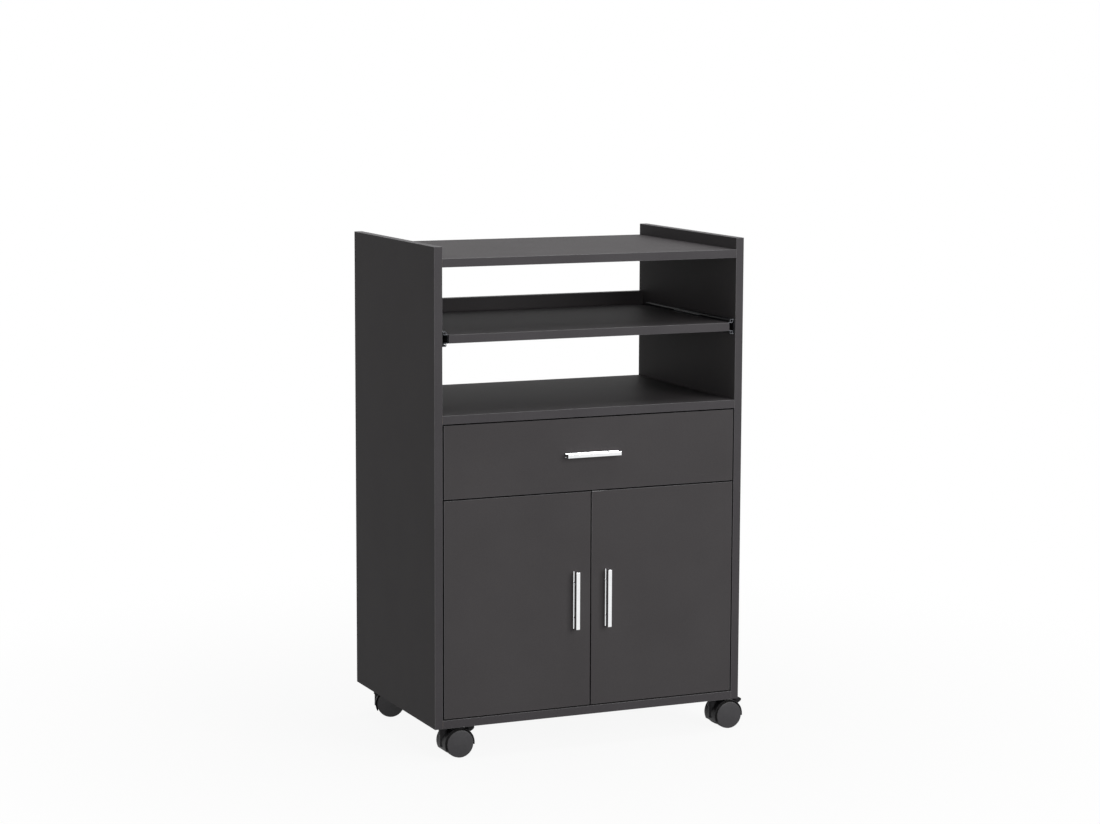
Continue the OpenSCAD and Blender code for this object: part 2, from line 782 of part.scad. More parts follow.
// A handle's two screws, from inside the front.
module handle_screws()
    translate([0, board, 0]) at_handle_screws() {
        translate([0, 0, -handle_screw_head_height])
            cylinder(d = 2 * handle_screw_diameter, h = handle_screw_head_height);
        translate([0, 0, -eps])
            cylinder(d = handle_screw_diameter, h = board + handle_screw_depth);
    }

module handle_screw_bores()
    translate([0, board, 0]) at_handle_screws() handle_screw_bore(board + eps);

// ---- Drawer ----

module at_drawer_handle() translate([0, 0, drawer_handle_z]) rotate([0, 90, 0]) children();

module drawer_front() color("#454344")
    in_body() difference() {
        translate([-inner_width / 2 + reveal, 0, drawer_front_z])
            cube([inner_width - 2 * reveal, board, drawer_front_height]);
        at_drawer_handle() handle_screw_bores();
        at_front_corners() drawer_dowel_bores();
        translate([-drawer_inner_width / 2 - groove_depth, board - groove_depth, drawer_bottom_z])
            cube([drawer_inner_width + 2 * groove_depth, groove_depth + eps,
                  drawer_bottom_thickness]);
    }

// Where the drawer's parts meet: the dowels run along +z, from the wall's side of the joint.
module at_front_corners()
    for (side = [-1, 1], z = drawer_dowel_heights)
        translate([side * (runner_width - drawer_board) / 2, board, z]) rotate([-90, 0, 0])
            children();

module at_back_corners()
    for (side = [-1, 1], z = drawer_dowel_heights)
        translate([side * drawer_inner_width / 2, drawer_back_y + drawer_board / 2, z])
            rotate([0, -side * 90, 0]) children();

module drawer_dowel_bores()
    translate([0, 0, -drawer_dowel_bite - bore_end_gap])
        cylinder(d = drawer_dowel_diameter + 2 * hole_clearance,
                 h = drawer_dowel_length + 2 * bore_end_gap);

module drawer_dowel()
    translate([0, 0, -drawer_dowel_bite])
        cylinder(d = drawer_dowel_diameter, h = drawer_dowel_length);

module drawer_dowels() color("#c9a775")
    in_body() {
        at_front_corners() drawer_dowel();
        at_back_corners() drawer_dowel();
    }

// A drawer side in the wall's frame.
module drawer_side()
    difference() {
        translate([slide_width, board, drawer_side_z])
            cube([drawer_board, drawer_side_length, drawer_side_height]);
        translate([slide_width + drawer_board - groove_depth, board - eps, drawer_bottom_z])
            cube([groove_depth + eps, drawer_side_length - drawer_board + 2 * eps,
                  drawer_bottom_thickness]);
        translate(drawer_slide_place) runner_pilots();
    }

module drawer_left_side() color("#3a393b") difference() {
    at_left_wall() drawer_side();
    drawer_corner_bores();
}
module drawer_right_side() color("#3a393b") difference() {
    at_right_wall() drawer_side();
    drawer_corner_bores();
}

module drawer_corner_bores()
    in_body() {
        at_front_corners() drawer_dowel_bores();
        at_back_corners() drawer_dowel_bores();
    }

// The back stands on the bottom panel, between the two sides.
module drawer_back() color("#3a393b")
    in_body() difference() {
        translate([-drawer_inner_width / 2, drawer_back_y,
                   drawer_bottom_z + drawer_bottom_thickness])
            cube([drawer_inner_width, drawer_board,
                  drawer_side_height - drawer_bottom_height - drawer_bottom_thickness]);
        at_back_corners() drawer_dowel_bores();
    }

module drawer_bottom() color("#2b2a2c")
    in_body() translate([-drawer_inner_width / 2 - groove_depth + panel_slack,
                         board - groove_depth + panel_slack, drawer_bottom_z])
        cube([drawer_inner_width + 2 * (groove_depth - panel_slack),
              drawer_side_length - drawer_board + groove_depth - 2 * panel_slack,
              drawer_bottom_thickness]);

module drawer_handle() color("#d8d8dc") in_body() at_drawer_handle() bar_handle();

module drawer_screws() color("silver") {
    in_body() at_drawer_handle() handle_screws();
    at_drawer_slides() slide_screws_in_runner();
}

// ---- Doors ----
// Drawn in a wall's frame.

module at_hinges() for (z = hinge_heights) translate([0, 0, z]) children();

module door()
    difference() {
        translate([reveal, 0, door_z]) cube([door_width, board, door_height]);
        translate([inner_width / 2 - door_handle_x, 0, door_handle_z]) handle_screw_bores();
        at_hinges() {
            translate([cup_x, board + eps, 0]) rotate([90, 0, 0])
                cylinder(d = cup_diameter + 2 * hole_clearance, h = cup_depth + bore_end_gap);
            for (end = [-1, 1]) translate([cup_x, board, end * cup_screw_spacing / 2])
                rotate([90, 0, 0]) screw_hole(cup_screw_bite);
        }
    }

module hinge_cup() {
    // The cup and its flange are one pressing.
    difference() {
        union() {
            translate([cup_x, board, 0]) rotate([90, 0, 0])
                cylinder(d = cup_diameter, h = cup_depth);
            translate([cup_x, board + cup_flange, 0]) rotate([90, 0, 0])
                cylinder(d = cup_diameter + 2 * cup_flange_margin, h = cup_flange);
            translate([cup_x - cup_flange_width / 2, board,
                       -cup_screw_spacing / 2 - cup_flange_width / 2])
                cube([cup_flange_width, cup_flange, cup_screw_spacing + cup_flange_width]);
        }
        translate([cup_x, board + cup_flange + eps, 0]) rotate([90, 0, 0])
            cylinder(d = cup_diameter - 2 * cup_wall,
                     h = cup_depth + cup_flange - cup_wall + eps);
        for (end = [-1, 1]) translate([cup_x, board - eps, end * cup_screw_spacing / 2])
            rotate([-90, 0, 0])
                cylinder(d = screw_diameter + 2 * hole_clearance, h = cup_flange + 2 * eps);
    }
}

module hinge_cup_screws()
    for (end = [-1, 1]) translate([cup_x, board + cup_flange, end * cup_screw_spacing / 2])
        rotate([90, 0, 0]) short_screw();

module short_screw() {
    translate([0, 0, -screw_head_height])
        cylinder(d = screw_head_diameter, h = screw_head_height);
    translate([0, 0, -eps]) cylinder(d = screw_diameter, h = cup_screw_bite);
}

// The cross-shaped plate on the side panel, and the arm clipped over its raised middle.
module hinge_arm() {
    half = hinge_arm_width / 2;
    ear_r = link_pin_diameter;
    difference() {
        translate([0, hinge_plate_y - hinge_plate_width / 2, -hinge_plate_height / 2])
            cube([hinge_plate_thickness, hinge_plate_width, hinge_plate_height]);
        for (z = [-1, 1]) translate([-eps, hinge_plate_y, z * plate_screw_spacing / 2])
            rotate([0, 90, 0])
                cylinder(d = screw_diameter + 2 * hole_clearance,
                         h = hinge_plate_thickness + 2 * eps);
    }
    translate([0, hinge_plate_y - hinge_block_length / 2, -half + arm_sheet])
        cube([arm_height - eps, hinge_block_length, hinge_arm_width - 2 * arm_sheet]);
    difference() {
        union() {
            translate([arm_lift, arm_y, -half])
                cube([arm_height - arm_lift, hinge_arm_length, hinge_arm_width]);
            translate([link_pivot_x, link_pivot_y, -half])
                cylinder(r = ear_r, h = hinge_arm_width);
        }
        translate([0, arm_y - ear_r, -half + arm_sheet])
            cube([arm_height - arm_sheet, hinge_arm_length + 2 * ear_r,
                  hinge_arm_width - 2 * arm_sheet]);
        translate([link_pivot_x, link_pivot_y, 0])
            cylinder(r = link_room_r, h = hinge_arm_width - 2 * arm_sheet, center = true);
    }
    translate([link_pivot_x, link_pivot_y, 0])
        cylinder(d = link_pin_diameter, h = hinge_arm_width, center = true);
    translate([arm_height - eps, hinge_plate_y, 0]) rotate([0, 90, 0])
        cylinder(d = screw_head_diameter, h = arm_screw_rise);
}

module hinge_arms() color("silver")
    at_both_walls() at_hinges() hinge_arm();

// The link turns on the arm's pin and reaches into the cup.
module hinge_link()
    translate([link_pivot_x, link_pivot_y, 0]) difference() {
        union() {
            rotate([0, 0, link_angle]) translate([0, -link_sheet / 2, -link_width / 2])
                cube([link_length, link_sheet, link_width]);
            rotate([0, 0, link_angle]) translate([link_length, 0, 0])
                cylinder(d = link_sheet, h = link_width, center = true);
            cylinder(r = link_eye_r, h = link_width, center = true);
        }
        cylinder(d = link_pin_diameter + 2 * running_clearance, h = link_width + 2 * eps,
                 center = true);
    }

module left_door() color("#454344") at_left_wall() door();
module right_door() color("#454344") at_right_wall() door();
module at_door_handle(side) translate([side * door_handle_x, 0, door_handle_z]) children();
module left_door_handle() color("#d8d8dc") in_body() at_door_handle(-1) bar_handle();
module right_door_handle() color("#d8d8dc") in_body() at_door_handle(1) bar_handle();
module left_hinge_cups() color("silver") at_left_wall() at_hinges() hinge_cup();
module right_hinge_cups() color("silver") at_right_wall() at_hinges() hinge_cup();
module left_door_screws() color("silver") {
    in_body() at_door_handle(-1) handle_screws();
    at_left_wall() at_hinges() hinge_cup_screws();
}
module right_door_screws() color("silver") {
    in_body() at_door_handle(1) handle_screws();
    at_right_wall() at_hinges() hinge_cup_screws();
}
module left_hinge_links() color("silver") at_left_wall() at_hinges() hinge_link();
module right_hinge_links() color("silver") at_right_wall() at_hinges() hinge_link();

// ---- Casters ----

module plate_corners()
    for (x = [-1, 1], y = [-1, 1])
        translate([x * plate_hole_spacing / 2, y * plate_hole_spacing / 2, 0]) children();

module caster_plate()
    translate([0, 0, caster_height - plate_thickness]) difference() {
        translate([-plate_size / 2, -plate_size / 2, 0]) linear_extrude(plate_thickness)
            rounded_rect([plate_size, plate_size], plate_corner_r);
        plate_corners() translate([0, 0, -eps])
            cylinder(d = screw_diameter + 2 * hole_clearance, h = plate_thickness + 2 * eps);
        translate([0, 0, -eps])
            cylinder(d = pin_diameter + 2 * running_clearance, h = plate_thickness + 2 * eps);
    }

// The pin that the hood turns on: its shoulder lies under the plate that it is riveted to.
module swivel_pin() {
    translate([0, 0, pin_tip_z]) cylinder(d = pin_diameter, h = caster_height - pin_tip_z);
    translate([0, 0, caster_height - plate_thickness - pin_shoulder_height])
        cylinder(r = pin_shoulder_r, h = pin_shoulder_height);
}

module at_caster_spots()
    for (spot = caster_spots) in_body() translate([spot[0], spot[1], 0]) children();

module caster_plates() color("#8a8a8c") at_caster_spots() caster_plate();
module swivel_pins() color("#8a8a8c") at_caster_spots() swivel_pin();

// The wedge under the hood, seen from the side, that the hood leaves open.
module open_wedge() {
    far = 3 * hood_outer_r;
    rear = hood_rear_angle;
    front = hood_rear_angle + hood_cover_angle;
    polygon([
        [0, 0], far * [cos(rear), sin(rear)], [far, -far], [-far, -far],
        far * [cos(front), sin(front)]
    ]);
}

module at_axle() translate([trail, 0, axle_z]) children();

// One moulding: fender, middle web, swivel barrel, neck and axle boss.
module hood() {
    difference() {
        union() {
            at_axle() difference() {
                union() {
                    rotate([90, 0, 0]) rotate_extrude()
                        translate([hood_inner_r, -hood_width / 2])
                            rounded_rect([hood_wall, hood_width], hood_wall / 2 - 0.1);
                    rotate([90, 0, 0])
                        cylinder(r = hood_inner_r + hood_wall / 2, h = web_thickness,
                                 center = true);
                }
                across_y(-caster_width, caster_width) open_wedge();
            }
            at_axle() rotate([90, 0, 0])
                cylinder(r = boss_r, h = wheel_gap - 2 * wheel_side_gap, center = true);
            translate([0, 0, barrel_bottom_z])
                cylinder(r = barrel_r, h = neck_top - barrel_bottom_z);
            translate([0, 0, neck_top - neck_height]) cylinder(r = neck_r, h = neck_height);
        }
        wheel_room();
        translate([0, 0, pin_tip_z - 1])
            cylinder(d = pin_diameter + 2 * running_clearance, h = caster_height);
        at_axle() rotate([90, 0, 0])
            cylinder(d = axle_diameter + 2 * running_clearance, h = caster_width,
                     center = true);
    }
}

// The space of the two wheels, kept clear of the neck.
module wheel_room()
    at_axle() for (side = [0, 1]) mirror([0, side, 0])
        translate([0, wheel_gap / 2, 0]) rotate([-90, 0, 0])
            cylinder(r = hood_inner_r, h = caster_width);

module brake_slot() {
    // The opening in the fender and the web that the lever comes out of.
    at_axle() rotate([0, -brake_slot_angle, 0])
        translate([hood_inner_r - brake_slot_start, -wheel_gap / 2, -brake_slot_height / 2])
            cube([brake_slot_depth, wheel_gap, brake_slot_height]);
    translate([brake_pivot[0], 0, brake_pivot[1]]) rotate([90, 0, 0])
        cylinder(d = brake_pin_diameter + 2 * running_clearance, h = 2 * web_thickness,
                 center = true);
}

module caster_hood(spot, braked) color("#2e2d2f")
    at_caster(spot)
        if (braked) difference() {
            hood();
            brake_slot();
        }
        else hood();

module caster_axle(spot) color("silver")
    at_caster(spot) at_axle() rotate([90, 0, 0])
        cylinder(d = axle_diameter, h = 2 * axle_end, center = true);

// The section of a wheel: x is the radius, y the distance from the middle plane. The cover
// stands off the tread, behind a groove that runs round the wheel.
module wheel_section() {
    inner = wheel_gap / 2;
    cover_r = wheel_r - cover_inset;
    cover_back = wheel_face - cover_thickness;
    difference() {
        union() {
            translate([wheel_r - rim_thickness, inner])
                rounded_rect([rim_thickness, cover_back - cover_groove_width - inner],
                             rim_corner_r);
            translate([0, wheel_face - wheel_wall])
                square([wheel_r - cover_groove_depth, wheel_wall - cover_thickness / 2]);
            translate([0, inner + wheel_side_gap])
                square([boss_r, wheel_face - inner - 2 * wheel_side_gap]);
            intersection() {
                dome_r = (pow(cover_r, 2) + pow(cover_dome, 2)) / (2 * cover_dome);
                translate([0, wheel_face + cover_dome - dome_r]) circle(dome_r, $fn = 96);
                translate([0, cover_back]) square([cover_r, cover_thickness + cover_dome]);
            }
        }
        translate([-1, 0]) square([1 + axle_diameter / 2 + running_clearance, axle_end + 0.5]);
        translate([-wheel_r, 0]) square([wheel_r, caster_width]);
    }
}

module caster_wheel(spot, side) color("#3f3e40")
    at_caster(spot) at_axle() mirror([0, side < 0 ? 1 : 0, 0])
        rotate([-90, 0, 0]) rotate_extrude() wheel_section();

// The foot brake: two cheeks astride the web, a neck through the slot and a pedal.
module caster_brake(spot) color("#2a2a2c")
    at_caster(spot) {
        cheek_in = web_thickness / 2 + brake_side_gap;
        cheek_out = cheek_in + brake_cheek;
        bend = brake_pivot + (brake_knee - brake_pivot) * 0.4;
        for (side = [0, 1]) mirror([0, side, 0]) across_y(cheek_in, cheek_out) {
            translate(brake_pivot) circle(brake_arm);
            strip(brake_pivot, brake_knee, brake_arm);
        }
        across_y(-cheek_out, cheek_out) {
            strip(bend, brake_knee, brake_arm);
            translate(brake_knee) circle(brake_arm / 2);
        }
        translate([brake_pivot[0], 0, brake_pivot[1]]) rotate([90, 0, 0])
            cylinder(d = brake_pin_diameter, h = 2 * cheek_out, center = true);
        brake_pedal();
    }

// A wedge that lies over the hood and thins towards its tip; its plan has round corners.
module brake_pedal() {
    root = trail + brake_root_lead;
    heel_z = axle_z + brake_heel_rise;
    tip = [brake_reach - brake_tip / 2, brake_top - brake_fall - brake_tip / 2];
    difference() {
        intersection() {
            across_y(-brake_width / 2, brake_width / 2) {
                polygon([
                    [root, brake_top], [trail + brake_shoulder_lead, brake_top],
                    tip + [0, brake_tip / 2], tip - [0, brake_tip / 2],
                    [trail + brake_heel_lead, heel_z], [root, heel_z]
                ]);
                translate(tip) circle(brake_tip / 2);
            }
            translate([root, -brake_width / 2, 0]) linear_extrude(caster_height)
                rounded_rect([brake_reach - root, brake_width], brake_corner_r);
        }
        at_axle() rotate([90, 0, 0])
            cylinder(r = hood_outer_r + brake_hood_gap, h = caster_width, center = true);
    }
}

module carcass_screws() color("silver") {
    at_pullout_slides() slide_screws_in_wall();
    at_drawer_slides() slide_screws_in_wall();
    at_both_walls() {
        for (side = [-1, 1]) at_hinges()
            translate([hinge_plate_thickness, hinge_plate_y, side * plate_screw_spacing / 2])
                rotate([0, -90, 0]) wood_screw();
    }
    for (spot = caster_spots) in_body()
        translate([spot[0], spot[1], caster_height - plate_thickness])
            plate_corners() wood_screw();
}

module front_left_hood() caster_hood(caster_spots[FRONT_LEFT], true);
module front_left_axle() caster_axle(caster_spots[FRONT_LEFT]);
module front_left_inner_wheel() caster_wheel(caster_spots[FRONT_LEFT], 1);
module front_left_outer_wheel() caster_wheel(caster_spots[FRONT_LEFT], -1);
module front_left_brake() caster_brake(caster_spots[FRONT_LEFT]);
module front_right_hood() caster_hood(caster_spots[FRONT_RIGHT], true);
module front_right_axle() caster_axle(caster_spots[FRONT_RIGHT]);
module front_right_inner_wheel() caster_wheel(caster_spots[FRONT_RIGHT], 1);
module front_right_outer_wheel() caster_wheel(caster_spots[FRONT_RIGHT], -1);
module front_right_brake() caster_brake(caster_spots[FRONT_RIGHT]);
module rear_left_hood() caster_hood(caster_spots[REAR_LEFT], false);
module rear_left_axle() caster_axle(caster_spots[REAR_LEFT]);
module rear_left_inner_wheel() caster_wheel(caster_spots[REAR_LEFT], 1);
module rear_left_outer_wheel() caster_wheel(caster_spots[REAR_LEFT], -1);
module rear_right_hood() caster_hood(caster_spots[REAR_RIGHT], false);
module rear_right_axle() caster_axle(caster_spots[REAR_RIGHT]);
module rear_right_inner_wheel() caster_wheel(caster_spots[REAR_RIGHT], 1);
module rear_right_outer_wheel() caster_wheel(caster_spots[REAR_RIGHT], -1);

left_side_panel();
right_side_panel();
bottom_board();
divider_board();
middle_shelf();
top_shelf();
back_rail();
back_panel();
loose_shelf();
shelf_pins();
cam_fittings();
dowels();
pullout_channels();
drawer_channels();
carcass_screws();
hinge_arms();
caster_plates();
swivel_pins();
pullout_shelf();
pullout_rails();
pullout_ball_cages();
drawer_front();
drawer_left_side();
drawer_right_side();
drawer_back();
drawer_bottom();
drawer_dowels();
drawer_handle();
drawer_rails();
drawer_screws();
drawer_ball_cages();
left_door();
left_door_handle();
left_hinge_cups();
left_door_screws();
left_hinge_links();
right_door();
right_door_handle();
right_hinge_cups();
right_door_screws();
right_hinge_links();
front_left_hood();
front_left_axle();
front_left_inner_wheel();
front_left_outer_wheel();
front_left_brake();
front_right_hood();
front_right_axle();
front_right_inner_wheel();
front_right_outer_wheel();
front_right_brake();
rear_left_hood();
rear_left_axle();
rear_left_inner_wheel();
rear_left_outer_wheel();
rear_right_hood();
rear_right_axle();
rear_right_inner_wheel();
rear_right_outer_wheel();
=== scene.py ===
import json

import bmesh
import bpy
import numpy as np
from mathutils import Matrix, Vector


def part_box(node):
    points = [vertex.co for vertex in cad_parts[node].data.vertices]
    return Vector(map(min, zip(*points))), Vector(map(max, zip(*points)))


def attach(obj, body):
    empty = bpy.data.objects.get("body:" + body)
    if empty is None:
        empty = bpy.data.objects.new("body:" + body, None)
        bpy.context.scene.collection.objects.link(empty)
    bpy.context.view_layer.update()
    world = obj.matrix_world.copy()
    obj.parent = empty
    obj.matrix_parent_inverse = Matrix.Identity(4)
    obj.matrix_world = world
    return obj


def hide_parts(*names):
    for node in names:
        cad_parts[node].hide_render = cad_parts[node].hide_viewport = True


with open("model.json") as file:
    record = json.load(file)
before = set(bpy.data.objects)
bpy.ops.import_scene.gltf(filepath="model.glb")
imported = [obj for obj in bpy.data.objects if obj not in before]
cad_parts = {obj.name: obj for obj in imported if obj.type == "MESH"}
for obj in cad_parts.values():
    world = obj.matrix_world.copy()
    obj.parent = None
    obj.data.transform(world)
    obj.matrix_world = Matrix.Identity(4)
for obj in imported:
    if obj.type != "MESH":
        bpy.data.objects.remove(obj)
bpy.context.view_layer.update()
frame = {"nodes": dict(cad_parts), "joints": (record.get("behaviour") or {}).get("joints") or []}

cad = frame["nodes"]

# ---- Camera ----
# A 90 mm lens stands five metres away, left of the front and a little above the top.
# Its place, in metres, and its turns come from a least-squares fit of the carcass's corners
# in the photograph.

CAMERA_PLACE = np.array([-2.0561, -4.6065, 1.2769])
CAMERA_YAW, CAMERA_PITCH, CAMERA_ROLL = np.radians([23.973, -7.828, -0.214])
FOCAL_LENGTH_PIXELS = 2768.1
PHOTO_WIDTH_PIXELS = 1100
SENSOR_WIDTH = 36.0

forward = np.array(
    [
        np.sin(CAMERA_YAW) * np.cos(CAMERA_PITCH),
        np.cos(CAMERA_YAW) * np.cos(CAMERA_PITCH),
        np.sin(CAMERA_PITCH),
    ]
)
level_right = np.array([np.cos(CAMERA_YAW), -np.sin(CAMERA_YAW), 0.0])
level_down = np.cross(forward, level_right)
image_right = np.cos(CAMERA_ROLL) * level_right + np.sin(CAMERA_ROLL) * level_down
image_down = -np.sin(CAMERA_ROLL) * level_right + np.cos(CAMERA_ROLL) * level_down

camera = bpy.data.objects.new("camera", bpy.data.cameras.new("camera"))
bpy.context.scene.collection.objects.link(camera)
camera.data.sensor_width = SENSOR_WIDTH
camera.data.lens = SENSOR_WIDTH * FOCAL_LENGTH_PIXELS / PHOTO_WIDTH_PIXELS
turn = Matrix(np.column_stack([image_right, -image_down, -forward]).tolist())
camera.matrix_world = Matrix.Translation(CAMERA_PLACE.tolist()) @ turn.to_4x4()
bpy.context.scene.camera = camera
bpy.context.scene.view_settings.view_transform = "Standard"

# ---- Studio ----
# A pale floor in a white room. The camera, reflections and clear surfaces see white; the
# light on the object comes from three soft boxes: front right, front left and above.


def linear(hex_colour):
    """sRGB hex to linear RGBA: v / 12.92 below 0.04045, else ((v + 0.055) / 1.055) ^ 2.4."""
    v = np.array([int(hex_colour[i : i + 2], 16) for i in (1, 3, 5)]) / 255
    rgb = np.where(v <= 0.04045, v / 12.92, ((v + 0.055) / 1.055) ** 2.4)
    return (*rgb.tolist(), 1.0)


def add(tree, kind, values=None, links=None, **settings):
    """Adds a node, sets its properties and socket values, and links outputs to its sockets."""
    node = tree.nodes.new(kind)
    for name, value in settings.items():
        setattr(node, name, value)
    for socket, value in (values or {}).items():
        node.inputs[socket].default_value = value
    for socket, output in (links or {}).items():
        tree.links.new(output, node.inputs[socket])
    return node


FLOOR_WIDTH = 30.0
FLOOR_COLOUR = "#b4b4b2"
FLOOR_ROUGHNESS = 0.9
# The floor's share of plain white under the cart, which grows to all of it between these
# distances in metres.
WHITE_UNDER_CART, WHITE_FROM, WHITE_BEYOND = 0.92, 0.2, 1.6
WHITE = linear("#ffffff")
AMBIENT_STRENGTH = 0.22
# Each soft box's place in metres, width in metres and power in watts.
SOFT_BOXES = {
    "key_box": ((1.7, -3.6, 1.75), 2.4, 150.0),
    "fill_box": ((-2.2, -4.8, 1.3), 2.4, 72.0),
    "top_box": ((0.3, -0.2, 3.4), 2.4, 85.0),
}
LIT_POINT = Vector((0.0, 0.0, 0.45))

world = bpy.data.worlds.new("white_room")
world.use_nodes = True
bpy.context.scene.world = world
room = world.node_tree
ambient = room.nodes["Background"]
ambient.inputs["Color"].default_value = WHITE
ambient.inputs["Strength"].default_value = AMBIENT_STRENGTH
white = add(room, "ShaderNodeBackground", {"Color": WHITE, "Strength": 1.0})
ray = add(room, "ShaderNodeLightPath")
seen = add(
    room,
    "ShaderNodeMath",
    links={0: ray.outputs["Is Camera Ray"], 1: ray.outputs["Is Glossy Ray"]},
    operation="MAXIMUM",
)
seen = add(
    room,
    "ShaderNodeMath",
    links={0: seen.outputs[0], 1: ray.outputs["Is Transmission Ray"]},
    operation="MAXIMUM",
)
shown = add(
    room,
    "ShaderNodeMixShader",
    links={0: seen.outputs[0], 1: ambient.outputs[0], 2: white.outputs[0]},
)
room.links.new(shown.outputs[0], room.nodes["World Output"].inputs["Surface"])

for name, (place, width, power) in SOFT_BOXES.items():
    lamp = bpy.data.lights.new(name, "AREA")
    lamp.size = width
    lamp.energy = power
    soft_box = bpy.data.objects.new(name, lamp)
    bpy.context.scene.collection.objects.link(soft_box)
    soft_box.location = place
    soft_box.rotation_euler = (LIT_POINT - Vector(place)).to_track_quat("-Z", "Y").to_euler()

floor_mesh = bpy.data.meshes.new("floor")
half = FLOOR_WIDTH / 2
floor_mesh.from_pydata(
    [(-half, -half, 0), (half, -half, 0), (half, half, 0), (-half, half, 0)],
    [],
    [(0, 1, 2, 3)],
)
floor = bpy.data.objects.new("floor", floor_mesh)
bpy.context.scene.collection.objects.link(floor)
# Matt paint, lit white away from the cart, so that only a faint shadow stays under it.
floor_paint = bpy.data.materials.new("matt_floor_paint")
floor_paint.use_nodes = True
tree = floor_paint.node_tree
paint = tree.nodes["Principled BSDF"]
paint.inputs["Base Color"].default_value = linear(FLOOR_COLOUR)
paint.inputs["Roughness"].default_value = FLOOR_ROUGHNESS
paint.inputs["Specular IOR Level"].default_value = 0.0
glow = add(tree, "ShaderNodeEmission", {"Color": WHITE, "Strength": 1.0})
ray = add(tree, "ShaderNodeLightPath")
place = add(tree, "ShaderNodeTexCoord").outputs["Object"]
distance = add(tree, "ShaderNodeVectorMath", links={0: place}, operation="LENGTH")
whiteness = add(
    tree,
    "ShaderNodeMapRange",
    {"From Min": WHITE_FROM, "From Max": WHITE_BEYOND, "To Min": WHITE_UNDER_CART},
    {"Value": distance.outputs["Value"]},
    interpolation_type="SMOOTHSTEP",
)
seen = add(
    tree,
    "ShaderNodeMath",
    links={0: ray.outputs["Is Camera Ray"], 1: ray.outputs["Is Glossy Ray"]},
    operation="MAXIMUM",
)
share = add(
    tree,
    "ShaderNodeMath",
    links={0: seen.outputs[0], 1: whiteness.outputs[0]},
    operation="MULTIPLY",
)
shown = add(
    tree,
    "ShaderNodeMixShader",
    links={0: share.outputs[0], 1: paint.outputs[0], 2: glow.outputs[0]},
)
tree.links.new(shown.outputs[0], tree.nodes["Material Output"].inputs["Surface"])
floor_mesh.materials.append(floor_paint)

# ---- Carcass boards ----
# Side panels, cross boards and shelves are chipboard faced with matt anthracite melamine.
# The edges that show are banded with ABS strip, its arrises rounded by the edge bander's
# scraper; the rear and lower edges are left as sawn chipboard.

BOARD_COLOUR = "#363435"
BOARD_PALE = "#3c3a3b"
BAND_COLOUR = "#333133"
BAND_PALE = "#3a383a"
# The fronts' strip, near black: painted shade for the gaps round the drawer front and the doors.
GAP_SHADE_BAND_COLOUR = "#161517"
GAP_SHADE_BAND_PALE = "#1c1b1d"
# The arris colours are paler than the strip: a painted highlight along the rounded edges.
ARRIS_HIGHLIGHT_COLOUR = "#4e4d4f"
ARRIS_HIGHLIGHT_PALE = "#59585a"
CHIP_DARK = "#6f5436"
CHIP_PALE = "#b39468"
CHIP_FRESH = "#d0b486"
CHIP_SIZE = 2.4e-3
ARRIS_WIDTH = 0.4e-3
ARRIS_STEPS = 2
SAME_POINT = 1e-6
FLAT_WITHIN = np.radians(0.5)
OUTER_PLANE_REACH = 0.02e-3
# Numbers of the Mix node's sockets when it mixes colours: its sockets share their names.
FACTOR, COLOUR_A, COLOUR_B, MIXED = 0, 6, 7, 2


def new_material(name):
    """An empty material: the material, its node tree and its shader."""
    material = bpy.data.materials.new(name)
    material.use_nodes = True
    return material, material.node_tree, material.node_tree.nodes["Principled BSDF"]


def speckled(tree, shader, dark, pale, grain, cloud, rough, depth):
    """Colour that drifts between dark and pale: a fine grain of size grain over clouds of
    size cloud, both in metres. The grain also moves the roughness between the two numbers
    of rough and raises the surface by depth. Gives the sockets of the place and the colour."""
    place = add(tree, "ShaderNodeTexCoord").outputs["Object"]
    fine = add(
        tree,
        "ShaderNodeTexNoise",
        {"Scale": 1 / grain, "Detail": 2.0, "Roughness": 0.6},
        {"Vector": place},
    )
    drift = add(
        tree,
        "ShaderNodeTexNoise",
        {"Scale": 1 / cloud, "Detail": 3.0, "Roughness": 0.5},
        {"Vector": place},
    )
    both = add(
        tree,
        "ShaderNodeMath",
        links={0: fine.outputs[0], 1: drift.outputs[0]},
        operation="ADD",
    )
    # Each noise lies mostly within 0.3 to 0.7, and their sum within twice that.
    level = add(
        tree,
        "ShaderNodeMapRange",
        {"From Min": 0.6, "From Max": 1.4},
        {"Value": both.outputs[0]},
    )
    colour = add(
        tree,
        "ShaderNodeMix",
        {COLOUR_A: linear(dark), COLOUR_B: linear(pale)},
        {FACTOR: level.outputs[0]},
        data_type="RGBA",
    )
    gloss = add(
        tree,
        "ShaderNodeMapRange",
        {"From Min": 0.3, "From Max": 0.7, "To Min": rough[0], "To Max": rough[1]},
        {"Value": fine.outputs[0]},
    )
    relief = add(
        tree,
        "ShaderNodeBump",
        {"Strength": 1.0, "Distance": depth},
        {"Height": fine.outputs[0]},
    )
    tree.links.new(colour.outputs[MIXED], shader.inputs["Base Color"])
    tree.links.new(gloss.outputs[0], shader.inputs["Roughness"])
    tree.links.new(relief.outputs[0], shader.inputs["Normal"])
    return place, colour.outputs[MIXED]


# Melamine paper pressed with a fine pearl plate, about 0.7 mm from dimple to dimple, drawn
# at 1.6 mm so that it shows. It gives an even, dull face with a faint drift in tone.
melamine, tree, shader = new_material("melamine_pearl_anthracite")
speckled(
    tree,
    shader,
    BOARD_COLOUR,
    BOARD_PALE,
    grain=1.6e-3,
    cloud=0.13,
    rough=(0.5, 0.62),
    depth=0.03e-3,
)
shader.inputs["Specular IOR Level"].default_value = 0.04

# ABS strip, extruded and scraped: a little smoother than the faces.
banding, tree, shader = new_material("abs_edge_band")
speckled(
    tree,
    shader,
    BAND_COLOUR,
    BAND_PALE,
    grain=3.0e-3,
    cloud=0.09,
    rough=(0.4, 0.5),
    depth=0.01e-3,
)
shader.inputs["Specular IOR Level"].default_value = 0.08
